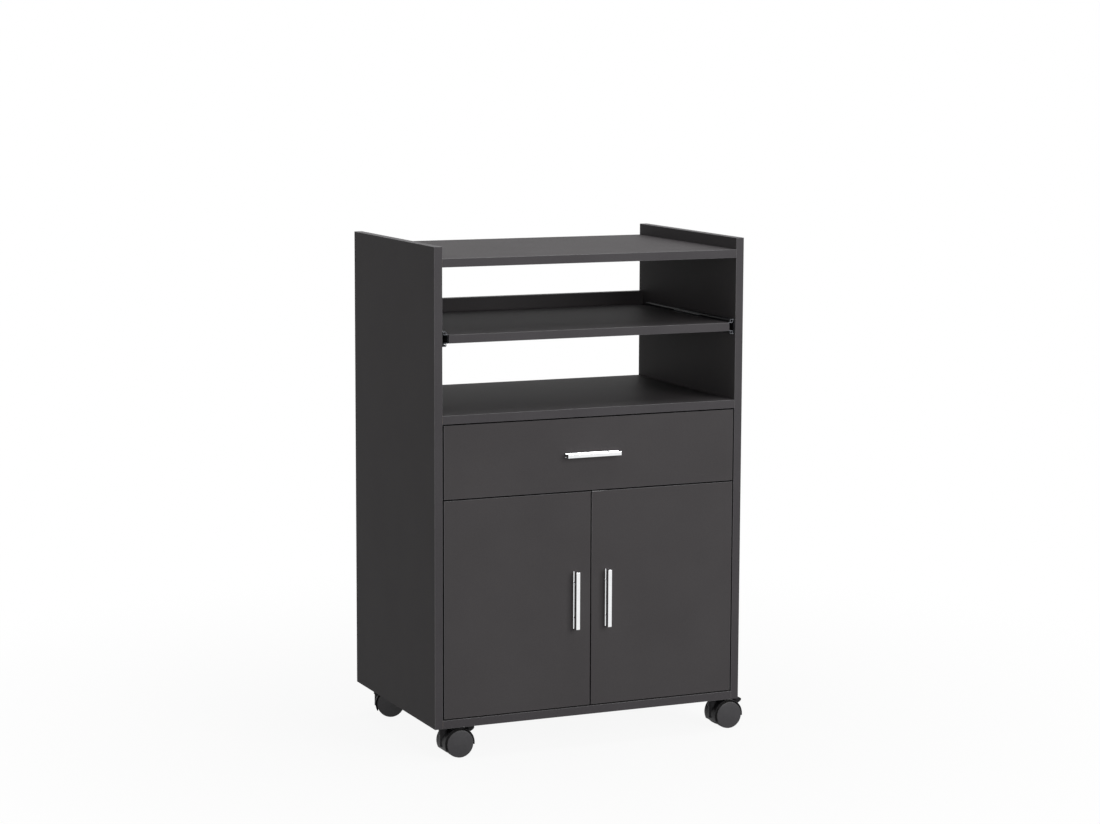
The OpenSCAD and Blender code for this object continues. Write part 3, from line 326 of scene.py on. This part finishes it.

# The strip round the drawer front and the doors is painted near black as shade, so the gaps
# round them look dark.
gap_shade_front_banding, tree, shader = new_material("abs_edge_band_of_fronts_painted_gap_shade")
speckled(
    tree,
    shader,
    GAP_SHADE_BAND_COLOUR,
    GAP_SHADE_BAND_PALE,
    grain=3.0e-3,
    cloud=0.09,
    rough=(0.4, 0.5),
    depth=0.01e-3,
)
shader.inputs["Specular IOR Level"].default_value = 0.08


def arris_with_painted_highlight(name):
    """The strip's arris, painted paler than the strip as a highlight along the edge, and a
    little shiny.
    Gives the material, its tree and shader, and the sockets of the place and the colour."""
    material, tree, shader = new_material(name)
    place, colour = speckled(
        tree,
        shader,
        ARRIS_HIGHLIGHT_COLOUR,
        ARRIS_HIGHLIGHT_PALE,
        grain=4.0e-3,
        cloud=0.05,
        rough=(0.28, 0.4),
        depth=0.01e-3,
    )
    shader.inputs["Specular IOR Level"].default_value = 0.3
    return material, tree, shader, place, colour


arris = arris_with_painted_highlight("abs_arris_painted_highlight")[0]

# Sawn chipboard: pale and dark wood chips of 1 to 4 mm in brown glue.
chipboard, tree, shader = new_material("sawn_chipboard")
place, colour = speckled(
    tree,
    shader,
    CHIP_DARK,
    CHIP_PALE,
    grain=1.1e-3,
    cloud=0.03,
    rough=(0.8, 0.95),
    depth=0.15e-3,
)
chips = add(tree, "ShaderNodeTexVoronoi", {"Scale": 1 / CHIP_SIZE}, {"Vector": place})
chip_tone = add(tree, "ShaderNodeSeparateColor", links={0: chips.outputs["Color"]})
chip_mix = add(
    tree,
    "ShaderNodeMix",
    {COLOUR_B: linear(CHIP_FRESH)},
    {FACTOR: chip_tone.outputs[0], COLOUR_A: colour},
    data_type="RGBA",
)
tree.links.new(chip_mix.outputs[MIXED], shader.inputs["Base Color"])

# The order of a board's materials.
FACE, ARRIS, BAND, SAWN = range(4)


def board(node, body, raw=(), band=banding):
    """A board in place of its CAD node: a copy of the CAD mesh with its doubles merged and
    its faces sorted. Wide faces are melamine, end faces are banded unless raw names them as
    (axis, side), and bores and grooves show the chipboard. An arris is rounded where two
    faces that aren't sawn meet."""
    low, high = (np.array(corner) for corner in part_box(node))
    thin = int(np.argmin(high - low))
    mesh = cad[node].data.copy()
    mesh.name = node + "_faced"
    mesh.materials.clear()
    for material in (melamine, arris, band, chipboard):
        mesh.materials.append(material)
    shape = bmesh.new()
    shape.from_mesh(mesh)
    bmesh.ops.remove_doubles(shape, verts=shape.verts, dist=SAME_POINT)
    bmesh.ops.dissolve_limit(
        shape, angle_limit=FLAT_WITHIN, verts=shape.verts, edges=shape.edges
    )
    round_weight = shape.edges.layers.float.new("bevel_weight_edge")
    outer = {}
    for face in shape.faces:
        axis = int(np.argmax(np.abs(face.normal)))
        side = int(face.normal[axis] > 0)
        plane = (low, high)[side][axis]
        on_plane = abs(face.calc_center_median()[axis] - plane) < OUTER_PLANE_REACH
        sawn = not on_plane or (axis, side) in raw
        outer[face] = None if sawn else (axis, side)
        if on_plane and axis == thin:
            face.material_index = FACE
        else:
            face.material_index = SAWN if sawn else BAND
    for edge in shape.edges:
        sides = {outer[face] for face in edge.link_faces}
        if len(sides) == 2 and None not in sides:
            edge[round_weight] = 1.0
    shape.to_mesh(mesh)
    shape.free()
    piece = bpy.data.objects.new(node + "_faced", mesh)
    bpy.context.scene.collection.objects.link(piece)
    rounding = piece.modifiers.new("arris", "BEVEL")
    rounding.limit_method = "WEIGHT"
    rounding.width = ARRIS_WIDTH
    rounding.segments = ARRIS_STEPS
    rounding.use_clamp_overlap = False
    rounding.harden_normals = True
    rounding.material = ARRIS
    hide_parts(node)
    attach(piece, body)
    return piece


ACROSS, DEEP, UP = 0, 1, 2
LOW, HIGH = 0, 1
SAWN_ENDS = ((ACROSS, LOW), (ACROSS, HIGH), (DEEP, HIGH))
for node in ("left_side_panel", "right_side_panel"):
    board(node, "carcass", raw=((DEEP, HIGH), (UP, LOW)))
for node in ("bottom_board", "divider_board", "middle_shelf", "top_shelf"):
    board(node, "carcass", raw=SAWN_ENDS)
board("back_rail", "carcass", raw=((ACROSS, LOW), (ACROSS, HIGH), (UP, LOW)))
board("loose_shelf", "carcass", raw=SAWN_ENDS)
board("pullout_shelf", "pullout", raw=((DEEP, HIGH),))

# ---- Thin panels ----
# The back of the cupboard and the bottom of the drawer are 3 mm hardboard, lacquered dark on
# the side that shows and left brown on the other. They slide into grooves.

LACQUER_DARK, LACQUER_PALE = "#2a292b", "#323133"
FIBRE_DARK, FIBRE_PALE = "#6b4a2f", "#8a6744"
FIBRE_SIZE = 1.5e-3
COAT_DEPTH = 0.5e-3
# The bare side of each panel: its axis by name and by number, and which way it faces.
RAW_SIDES = {"back_panel": ("Y", DEEP, 1.0), "drawer_bottom": ("Z", UP, -1.0)}


def dress(node, material):
    """Gives a CAD node its material; its mesh stays as it is."""
    cad[node].data.materials.clear()
    cad[node].data.materials.append(material)


for node, (axis_name, axis, sign) in RAW_SIDES.items():
    # Hot-pressed wood fibre, smooth with fine short fibres: dark lacquer on the side that
    # shows, bare brown within COAT_DEPTH of the other.
    fibre, tree, shader = new_material("hardboard_of_" + node)
    place, colour = speckled(
        tree,
        shader,
        LACQUER_DARK,
        LACQUER_PALE,
        grain=1.2e-3,
        cloud=0.1,
        rough=(0.4, 0.55),
        depth=0.02e-3,
    )
    split = add(tree, "ShaderNodeSeparateXYZ", links={0: place})
    raw_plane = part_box(node)[int(sign > 0)][axis] - sign * COAT_DEPTH
    bare = add(
        tree,
        "ShaderNodeMath",
        {1: raw_plane},
        {0: split.outputs[axis_name]},
        operation="GREATER_THAN" if sign > 0 else "LESS_THAN",
    )
    fibres = add(
        tree,
        "ShaderNodeTexNoise",
        {"Scale": 1 / FIBRE_SIZE, "Detail": 4.0, "Distortion": 1.5},
        {"Vector": place},
    )
    brown = add(
        tree,
        "ShaderNodeMix",
        {COLOUR_A: linear(FIBRE_DARK), COLOUR_B: linear(FIBRE_PALE)},
        {FACTOR: fibres.outputs[0]},
        data_type="RGBA",
    )
    coat = add(
        tree,
        "ShaderNodeMix",
        links={FACTOR: bare.outputs[0], COLOUR_A: colour, COLOUR_B: brown.outputs[MIXED]},
        data_type="RGBA",
    )
    tree.links.new(coat.outputs[MIXED], shader.inputs["Base Color"])
    dress(node, fibre)

# ---- Board fittings ----
# Beech dowels, die-cast cam locks and steel bolts join the boards. Zinc-plated steel pins
# carry the loose shelf.

ZINC_DARK, ZINC_PALE = "#9c9ea2", "#c3c5c8"
BEECH_DARK, BEECH_PALE = "#b58a5a", "#d8b384"

# Zinc plate: a cool, slightly blue white with cloudy patches and a soft shine.
zinc, tree, shader = new_material("zinc_plated_steel")
speckled(
    tree,
    shader,
    ZINC_DARK,
    ZINC_PALE,
    grain=0.8e-3,
    cloud=0.006,
    rough=(0.24, 0.42),
    depth=0.008e-3,
)
shader.inputs["Metallic"].default_value = 1.0

# Beech: pale pink brown, with fine flecks.
beech, tree, shader = new_material("turned_beech")
speckled(
    tree,
    shader,
    BEECH_DARK,
    BEECH_PALE,
    grain=0.7e-3,
    cloud=0.01,
    rough=(0.55, 0.7),
    depth=0.03e-3,
)

for node in ("dowels", "drawer_dowels"):
    dress(node, beech)
for node in ("cam_fittings", "shelf_pins", "swivel_pins"):
    dress(node, zinc)

# ---- Slides ----
# Ball-bearing slides, rolled from 1.2 mm steel strip and dipped in black paint. The sheared
# front ends show worn grey steel, and the cages and balls inside are plated.

SLIDE_BLACK, SLIDE_PALE = "#19191b", "#262628"
CUT_STEEL = "#414245"
CUT_DEPTH = 0.5e-3
for slide in ("pullout", "drawer"):
    # Dip paint on rolled strip: even, half gloss, with a slight orange peel.
    steel, tree, shader = new_material("dip_painted_steel_" + slide)
    place, colour = speckled(
        tree,
        shader,
        SLIDE_BLACK,
        SLIDE_PALE,
        grain=1.5e-3,
        cloud=0.05,
        rough=(0.36, 0.48),
        depth=0.02e-3,
    )
    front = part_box(slide + "_channels")[LOW][DEEP]
    split = add(tree, "ShaderNodeSeparateXYZ", links={0: place})
    bare = add(
        tree,
        "ShaderNodeMath",
        {1: front + CUT_DEPTH},
        {0: split.outputs["Y"]},
        operation="LESS_THAN",
    )
    cut = add(
        tree,
        "ShaderNodeMix",
        {COLOUR_B: linear(CUT_STEEL)},
        {FACTOR: bare.outputs[0], COLOUR_A: colour},
        data_type="RGBA",
    )
    tree.links.new(cut.outputs[MIXED], shader.inputs["Base Color"])
    tree.links.new(bare.outputs[0], shader.inputs["Metallic"])
    shader.inputs["Specular IOR Level"].default_value = 0.12
    dress(slide + "_channels", steel)
    dress(slide + "_rails", steel)
    dress(slide + "_ball_cages", zinc)

# ---- Drawer ----
# The front is a banded board. Sides and back are thinner boards of the same kind, dowelled
# and glued to it and to each other.

board("drawer_front", "drawer", band=gap_shade_front_banding)
for node in ("drawer_left_side", "drawer_right_side"):
    board(node, "drawer", raw=((DEEP, HIGH), (UP, LOW)))
board("drawer_back", "drawer", raw=((UP, LOW),))

# ---- Doors ----
# Two banded boards on cup hinges. The right door's opening edge is painted pale as a highlight,
# most of all above the handle.

# Colour and reach of the painted highlight on the right door's opening edge.
OPENING_HIGHLIGHT_COLOUR = "#a3a2a4"
HIGHLIGHT_FROM, HIGHLIGHT_TO = 0.24, 0.42
LEAST_HIGHLIGHT = 0.12
HIGHLIGHT_WITHIN, HIGHLIGHT_FULLY = 0.02, 0.003

# A painted highlight on the arris of the right door's opening edge. It fades in from 0.02 to
# 0.003 from the middle of the cart and from 0.24 to 0.42 in height,
# in metres.
opening_edge_highlight, tree, shader, place, colour = arris_with_painted_highlight("abs_arris_painted_highlight_of_opening_edge")
split = add(tree, "ShaderNodeSeparateXYZ", links={0: place})
opening = add(
    tree,
    "ShaderNodeMapRange",
    {"From Min": HIGHLIGHT_WITHIN, "From Max": HIGHLIGHT_FULLY},
    {"Value": split.outputs["X"]},
)
height = add(
    tree,
    "ShaderNodeMapRange",
    {"From Min": HIGHLIGHT_FROM, "From Max": HIGHLIGHT_TO, "To Min": LEAST_HIGHLIGHT},
    {"Value": split.outputs["Z"]},
    interpolation_type="SMOOTHSTEP",
)
highlight_share = add(
    tree,
    "ShaderNodeMath",
    links={0: opening.outputs[0], 1: height.outputs[0]},
    operation="MULTIPLY",
)
highlit_colour = add(
    tree,
    "ShaderNodeMix",
    {COLOUR_B: linear(OPENING_HIGHLIGHT_COLOUR)},
    {FACTOR: highlight_share.outputs[0], COLOUR_A: colour},
    data_type="RGBA",
)
tree.links.new(highlit_colour.outputs[MIXED], shader.inputs["Base Color"])

board("left_door", "left_door", band=gap_shade_front_banding)
right_door = board("right_door", "right_door", band=gap_shade_front_banding)
# The right door's arris takes the painted highlight.
right_door.data.materials[ARRIS] = opening_edge_highlight

# ---- Cup hinges ----
# Steel pressings, nickel plated: the cup pressed into the door, the arm screwed to the side
# panel on its cross-shaped plate, and the link between them.

NICKEL_DARK, NICKEL_PALE = "#a9a59f", "#c9c5be"

# Nickel plate: a warm white, smoother and brighter than zinc.
nickel, tree, shader = new_material("nickel_plated_steel")
speckled(
    tree,
    shader,
    NICKEL_DARK,
    NICKEL_PALE,
    grain=0.9e-3,
    cloud=0.01,
    rough=(0.16, 0.3),
    depth=0.006e-3,
)
shader.inputs["Metallic"].default_value = 1.0
for node in (
    "left_hinge_cups",
    "right_hinge_cups",
    "left_hinge_links",
    "right_hinge_links",
    "hinge_arms",
):
    dress(node, nickel)

# ---- Handles ----
# Die-cast bars of I-section, cut straight, polished and chromed. Two screws from inside hold
# each one; a boss round each screw stands in the groove.

# Sizes of a handle in millimetres; rise is the distance from the front it stands on.
HANDLE_LENGTH = 104.0
HANDLE_WIDTH = 7.2
HANDLE_RISE = 15.0
FLANGE_RADIUS = 0.8
END_RADIUS = 0.3
GROOVE_FROM, GROOVE_TO, GROOVE_FILLET = 1.5, 11.0, 0.3
WEB_WIDTH = 5.2
BOSS_SPACING, BOSS_RADIUS = 64.0, 3.1
# How many points or outlines describe each stretch of the bar.
ARC_POINTS, FILLET_POINTS = 7, 9
MIDDLE_OUTLINES, BOSS_OUTLINES, TAIL_OUTLINES = 6, 25, 4
CHROME_DARK, CHROME_PALE = "#e9eaec", "#f3f4f5"

# Chrome over nickel: mirror bright, with a faint haze left by polishing.
chrome, tree, shader = new_material("polished_chrome_plate")
speckled(
    tree,
    shader,
    CHROME_DARK,
    CHROME_PALE,
    grain=2.0e-3,
    cloud=0.02,
    rough=(0.05, 0.12),
    depth=0.0008e-3,
)
shader.inputs["Metallic"].default_value = 1.0


def new_piece(name, points, faces, materials, body, indices=None):
    """A mesh object at the origin from points in millimetres; its faces are turned outwards
    by the sign of its volume, the sum of a . (b x c) / 6 over the faces' triangles."""
    mesh = bpy.data.meshes.new(name)
    mesh.from_pydata((points / 1000).tolist(), [], faces)
    mesh.update()
    mesh.calc_loop_triangles()
    corners = np.array([t.vertices[:] for t in mesh.loop_triangles])
    a, b, c = (points[corners[:, k]] for k in range(3))
    if np.einsum("ij,ij->i", a, np.cross(b, c)).sum() < 0:
        mesh.flip_normals()
    for material in materials:
        mesh.materials.append(material)
    if indices is not None:
        mesh.polygons.foreach_set("material_index", np.array(indices, np.int32))
    mesh.polygons.foreach_set("use_smooth", np.ones(len(mesh.polygons), bool))
    mesh.update()
    piece = bpy.data.objects.new(name, mesh)
    bpy.context.scene.collection.objects.link(piece)
    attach(piece, body)
    return piece


def ring_faces(rings, around):
    """Quads between neighbouring rings of points, each ring closed on itself."""
    i, j = np.meshgrid(np.arange(rings - 1), np.arange(around), indexing="ij")
    k = (j + 1) % around
    quads = np.stack(
        [i * around + j, i * around + k, (i + 1) * around + k, (i + 1) * around + j], -1
    )
    return quads.reshape(-1, 4).tolist()


def bar_handle():
    """A closed bar along x, standing on y = 0 towards -y. Its outline is a rounded rectangle
    whose half width shrinks to the web's between the flanges, or to the boss's chord
    sqrt(r^2 - dx^2) near a screw. The outline draws in by r - sqrt(r^2 - d^2) at each end."""
    turn = np.linspace(0, np.pi / 2, ARC_POINTS)
    fillet = GROOVE_FILLET * np.linspace(-1, 1, FILLET_POINTS)
    rise = np.concatenate(
        [
            FLANGE_RADIUS * (1 - np.cos(turn)),
            GROOVE_FROM + fillet,
            GROOVE_TO + fillet,
            HANDLE_RISE - FLANGE_RADIUS * (1 - np.sin(turn)),
        ]
    )
    from_edge = np.minimum(rise, HANDLE_RISE - rise)
    inset = np.clip(FLANGE_RADIUS - from_edge, 0, FLANGE_RADIUS)
    corner = FLANGE_RADIUS - np.sqrt(FLANGE_RADIUS**2 - inset**2)
    into = np.clip((rise - GROOVE_FROM) / (2 * GROOVE_FILLET) + 0.5, 0, 1)
    out = np.clip((GROOVE_TO - rise) / (2 * GROOVE_FILLET) + 0.5, 0, 1)
    window = np.minimum(into * into * (3 - 2 * into), out * out * (3 - 2 * out))
    end, screw = HANDLE_LENGTH / 2, BOSS_SPACING / 2
    half_along = np.concatenate(
        [
            np.linspace(0, screw - BOSS_RADIUS, MIDDLE_OUTLINES)[:-1],
            screw - BOSS_RADIUS * np.cos(np.linspace(0, np.pi, BOSS_OUTLINES)),
            np.linspace(screw + BOSS_RADIUS, end - END_RADIUS, TAIL_OUTLINES)[1:-1],
            end - END_RADIUS + END_RADIUS * np.sin(turn),
        ]
    )
    along = np.concatenate([-half_along[:0:-1], half_along])
    off_screw = np.abs(np.abs(along) - screw)
    chord = np.sqrt(np.clip(BOSS_RADIUS**2 - off_screw**2, 0, None))
    depth = HANDLE_WIDTH / 2 - np.maximum(WEB_WIDTH / 2, chord)
    past = np.clip(np.abs(along) - (end - END_RADIUS), 0, END_RADIUS)
    draw_in = (END_RADIUS - np.sqrt(END_RADIUS**2 - past**2))[:, None]
    width = HANDLE_WIDTH / 2 - corner - depth[:, None] * window - draw_in
    middle = HANDLE_RISE / 2
    height = middle + (rise - middle) * (1 - draw_in / middle)
    x = np.repeat(along[:, None], 2 * len(rise), 1)
    z = np.concatenate([width, -width[:, ::-1]], 1)
    y = -np.concatenate([height, height[:, ::-1]], 1)
    points = np.stack([x, y, z], -1).reshape(-1, 3)
    around = 2 * len(rise)
    faces = ring_faces(len(along), around)
    faces += [list(range(around))[::-1]]
    faces += [list(range((len(along) - 1) * around, len(along) * around))]
    return points, faces


def upright(points):
    """Turns a bar from along x to along z."""
    return points[:, [2, 1, 0]]


# Each handle's body, and whether it stands upright.
HANDLES = {
    "drawer_handle": ("drawer", False),
    "left_door_handle": ("left_door", True),
    "right_door_handle": ("right_door", True),
}
for node, (body, stands) in HANDLES.items():
    low, high = (np.array(corner) * 1000 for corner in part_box(node))
    foot = np.array([(low[0] + high[0]) / 2, high[1], (low[2] + high[2]) / 2])
    points, faces = bar_handle()
    points = (upright(points) if stands else points) + foot
    piece = new_piece(node + "_chromed", points, faces, [chrome], body)
    piece.modifiers.new("flat_faces_stay_flat", "WEIGHTED_NORMAL")
    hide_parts(node)

# ---- Screws ----
# Zinc-plated pan-head screws with a cross recess: the slides, the hinges, the caster plates
# and the handles are screwed on.

# Sizes in millimetres. The recess's walls slope over RECESS_WALL, its ends over RECESS_TIP.
RECESS_WIDTH, RECESS_WALL = 1.0, 0.25
RECESS_REACH, RECESS_TIP = 3.8, 0.5
RECESS_DEPTH = 1.3
SCREW_SIDES = 48
# Radii of the rings across a head, as shares of its own radius.
HEAD_RINGS = np.array([0.25, 0.5, 0.75, 1.0, 1.25, 1.5, 1.75, 2.0, 2.3, 2.7, 3.1]) / 3.5
DOME_FALL = 0.45
RIM_HEIGHT = 0.3
SEAT_SHARE = 0.97
POINT_LENGTH = 2.0
POINT_SHARE = 1 / 3
# A CAD screw's points this close to its largest radius belong to the head, and those
# further in than SHANK_WITHIN to the shank.
HEAD_WITHIN, SHANK_WITHIN = 0.05, 0.3


def solids_of(node):
    """The points, in millimetres, of each separate solid of a CAD node. Points at one place
    get one number; every triangle then spreads the smallest number of its corners until
    nothing changes."""
    mesh = cad[node].data
    points = np.zeros(len(mesh.vertices) * 3)
    mesh.vertices.foreach_get("co", points)
    points = points.reshape(-1, 3) * 1000
    _, place = np.unique(np.round(points, 3), axis=0, return_inverse=True)
    mesh.calc_loop_triangles()
    triangles = np.zeros(len(mesh.loop_triangles) * 3, np.int32)
    mesh.loop_triangles.foreach_get("vertices", triangles)
    triangles = place.reshape(-1)[triangles].reshape(-1, 3)
    label = np.arange(place.max() + 1)
    while True:
        least = label[triangles].min(1)
        spread = label.copy()
        for corner in range(3):
            np.minimum.at(spread, triangles[:, corner], least)
        if (spread == label).all():
            break
        label = spread
    owner = label[place.reshape(-1)]
    return [points[owner == one] for one in np.unique(owner)]


def closed_rings(rings, around):
    """Faces of a surface of rings that ends in two single points, numbered after the rings:
    quads between the rings, and a fan of triangles from each end point to its ring."""
    here = np.arange(around)
    after = (here + 1) % around
    last = (rings - 1) * around
    start_point = np.full(around, rings * around)
    start = np.stack([start_point, after, here], 1)
    end = np.stack([start_point + 1, last + here, last + after], 1)
    return ring_faces(rings, around) + start.tolist() + end.tolist()


def screw_shape(head_radius, head_height, shank_radius, length):
    """A screw along +z, its head below z = 0: a surface of rings round the axis. The head's
    height falls with the square of the radius, and a cross of two bars is sunk into it."""
    radii = np.append(HEAD_RINGS * head_radius, head_radius)
    angle = np.linspace(0, 2 * np.pi, SCREW_SIDES, endpoint=False)
    across = radii[:, None] * np.cos(angle)
    up = radii[:, None] * np.sin(angle)
    dome = head_height * (1 - DOME_FALL * (radii / head_radius) ** 2)[:, None]
    arms = [
        np.clip((RECESS_WIDTH / 2 - np.abs(p)) / RECESS_WALL + 0.5, 0, 1)
        * np.clip((RECESS_REACH / 2 - np.abs(q)) / RECESS_TIP + 0.5, 0, 1)
        for p, q in ((across, up), (up, across))
    ]
    top = -(dome - RECESS_DEPTH * np.maximum(*arms))
    below = [
        (head_radius, -RIM_HEIGHT * head_height),
        (head_radius * SEAT_SHARE, 0.0),
        (shank_radius, 0.0),
        (shank_radius, length - POINT_LENGTH),
        (shank_radius * POINT_SHARE, length),
    ]
    rings = [np.stack([across, up, top], -1)]
    for radius, height in below:
        level = np.full(SCREW_SIDES, height)
        ring = np.stack([radius * np.cos(angle), radius * np.sin(angle), level], -1)
        rings.append(ring[None])
    rings = np.concatenate(rings)
    tips = np.array([[0, 0, -(head_height - RECESS_DEPTH)], [0, 0, length]])
    points = np.concatenate([rings.reshape(-1, 3), tips])
    return points, closed_rings(len(rings), SCREW_SIDES)


SCREW_NODES = {
    "carcass_screws": "carcass",
    "drawer_screws": "drawer",
    "left_door_screws": "left_door",
    "right_door_screws": "right_door",
}
for node, body in SCREW_NODES.items():
    all_points, all_faces, count = [], [], 0
    for solid in solids_of(node):
        low, high = solid.min(0), solid.max(0)
        axis = int(np.argmax(high - low))
        others = [k for k in range(3) if k != axis]
        middle = (low + high) / 2
        radius = np.abs(solid[:, others] - middle[others]).max(1)
        head_radius = radius.max()
        head = solid[radius > head_radius - HEAD_WITHIN][:, axis]
        heads_low = abs(head.min() - low[axis]) < abs(head.max() - high[axis])
        sign = 1.0 if heads_low else -1.0
        head_height = head.max() - head.min()
        start = low[axis] + head_height if heads_low else high[axis] - head_height
        shank = np.median(radius[radius < head_radius - SHANK_WITHIN])
        points, faces = screw_shape(
            head_radius, head_height, shank, (high - low)[axis] - head_height
        )
        placed = np.zeros_like(points)
        placed[:, axis] = start + sign * points[:, 2]
        placed[:, others[0]] = middle[others[0]] + points[:, 0]
        placed[:, others[1]] = middle[others[1]] + points[:, 1]
        # Laid on other axes or turned round, a screw can come out as its mirror image.
        if np.linalg.det(np.eye(3)[[others[0], others[1], axis]]) * sign < 0:
            faces = [face[::-1] for face in faces]
        all_faces += [[corner + count for corner in face] for face in faces]
        all_points.append(placed)
        count += len(points)
    piece = new_piece(
        node + "_cross_head",
        np.concatenate(all_points),
        all_faces,
        [zinc],
        body,
    )
    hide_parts(node)

# ---- Casters ----
# A pressed steel plate with a swivel pin, a hood moulded in one with its barrel, and two
# moulded wheels with domed covers on a steel axle. The two front ones have a brake pedal.

HOOD_BLACK, HOOD_PALE = "#121113", "#19181a"
WHEEL_COLOUR, WHEEL_PALE = "#2c2b2d", "#343335"
TREAD_COLOUR, TREAD_WORN = "#19191a", "#262524"

# Moulded polypropylene with a fine spark-eroded skin: dull, slightly soft in its highlights.
hood_plastic, tree, shader = new_material("moulded_polypropylene")
speckled(
    tree,
    shader,
    HOOD_BLACK,
    HOOD_PALE,
    grain=0.9e-3,
    cloud=0.02,
    rough=(0.36, 0.5),
    depth=0.02e-3,
)
shader.inputs["Specular IOR Level"].default_value = 0.12

# Moulded polyamide wheels: a little paler, the domed cover half gloss.
wheel_plastic, tree, shader = new_material("moulded_polyamide")
speckled(
    tree,
    shader,
    WHEEL_COLOUR,
    WHEEL_PALE,
    grain=1.1e-3,
    cloud=0.02,
    rough=(0.3, 0.44),
    depth=0.015e-3,
)
shader.inputs["Specular IOR Level"].default_value = 0.25

# The same polyamide where it rolls on the floor: scuffed dull and dusty.
tread_plastic, tree, shader = new_material("worn_polyamide_tread")
speckled(
    tree,
    shader,
    TREAD_COLOUR,
    TREAD_WORN,
    grain=1.6e-3,
    cloud=0.012,
    rough=(0.55, 0.75),
    depth=0.04e-3,
)
shader.inputs["Specular IOR Level"].default_value = 0.2

dress("caster_plates", zinc)
CASTERS = ("front_left", "front_right", "rear_left", "rear_right")
for caster in CASTERS:
    dress(caster + "_hood", hood_plastic)
    dress(caster + "_axle", zinc)
for caster in ("front_left", "front_right"):
    dress(caster + "_brake", hood_plastic)

# The wheel's section in millimetres: radius and distance from the caster's middle plane,
# from the cover's middle over the tread and the inner side to the axle's bore.
COVER = [
    (0.0, 25.5),
    (6.0, 25.42),
    (12.0, 25.15),
    (18.0, 24.71),
    (22.0, 24.31),
    (23.8, 24.11),
    (24.4, 23.96),
    (24.75, 23.6),
    (24.8, 22.5),
    (24.6, 22.1),
    (24.2, 22.0),
]
GROOVE = [(22.7, 22.0), (22.5, 21.8), (22.5, 20.7), (22.7, 20.5)]
TREAD = [
    (23.9, 20.5),
    (24.7, 20.3),
    (25.3, 19.7),
    (25.5, 18.9),
    (25.5, 9.6),
    (25.3, 8.8),
    (24.7, 8.2),
    (23.9, 8.0),
    (22.6, 8.0),
    (21.6, 8.4),
    (21.0, 9.6),
]
INNER = [
    (21.0, 18.4),
    (20.4, 18.98),
    (7.8, 19.0),
    (7.2, 18.6),
    (7.0, 17.8),
    (7.0, 8.9),
    (6.4, 8.3),
    (3.6, 8.3),
    (3.06, 8.8),
    (3.06, 19.45),
    (0.0, 19.5),
]
WHEEL_SIDES = 96
section = np.array(COVER + GROOVE + TREAD + INNER)
wheel_rings = len(section) - 2

# Bands between rings that roll on the floor, from the tread's first corner to its last.
rolling = np.zeros(wheel_rings - 1, int)
rolling[len(COVER + GROOVE) - 2 : len(COVER + GROOVE + TREAD) - 4] = 1
wheel_parts = np.append(np.repeat(rolling, WHEEL_SIDES), np.zeros(2 * WHEEL_SIDES, int))

angle = np.linspace(0, 2 * np.pi, WHEEL_SIDES, endpoint=False)
up = np.array([0.0, 0.0, 1.0])
joints = {joint["name"]: joint for joint in frame["joints"]}
for caster in CASTERS:
    for place, side in (("inner", 1.0), ("outer", -1.0)):
        # The section turned round the axle: radius times a spoke, plus distance along it.
        spin = joints[f"{caster}_{place}_spin"]
        centre = np.array(spin["pos_m"]) * 1000
        axle = np.array(spin["axis"]) * side
        axle = axle / np.linalg.norm(axle)
        ahead = np.cross(axle, up)
        spokes = np.cos(angle)[:, None] * ahead + np.sin(angle)[:, None] * up
        rings = section[1:-1, 0, None, None] * spokes + section[1:-1, 1, None, None] * axle
        poles = section[[0, -1], 1, None] * axle
        node = f"{caster}_{place}_wheel"
        piece = new_piece(
            node + "_moulded",
            np.concatenate([rings.reshape(-1, 3), poles]) + centre,
            closed_rings(wheel_rings, WHEEL_SIDES),
            [wheel_plastic, tread_plastic],
            f"{caster}_{place}",
            wheel_parts,
        )
        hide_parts(node)
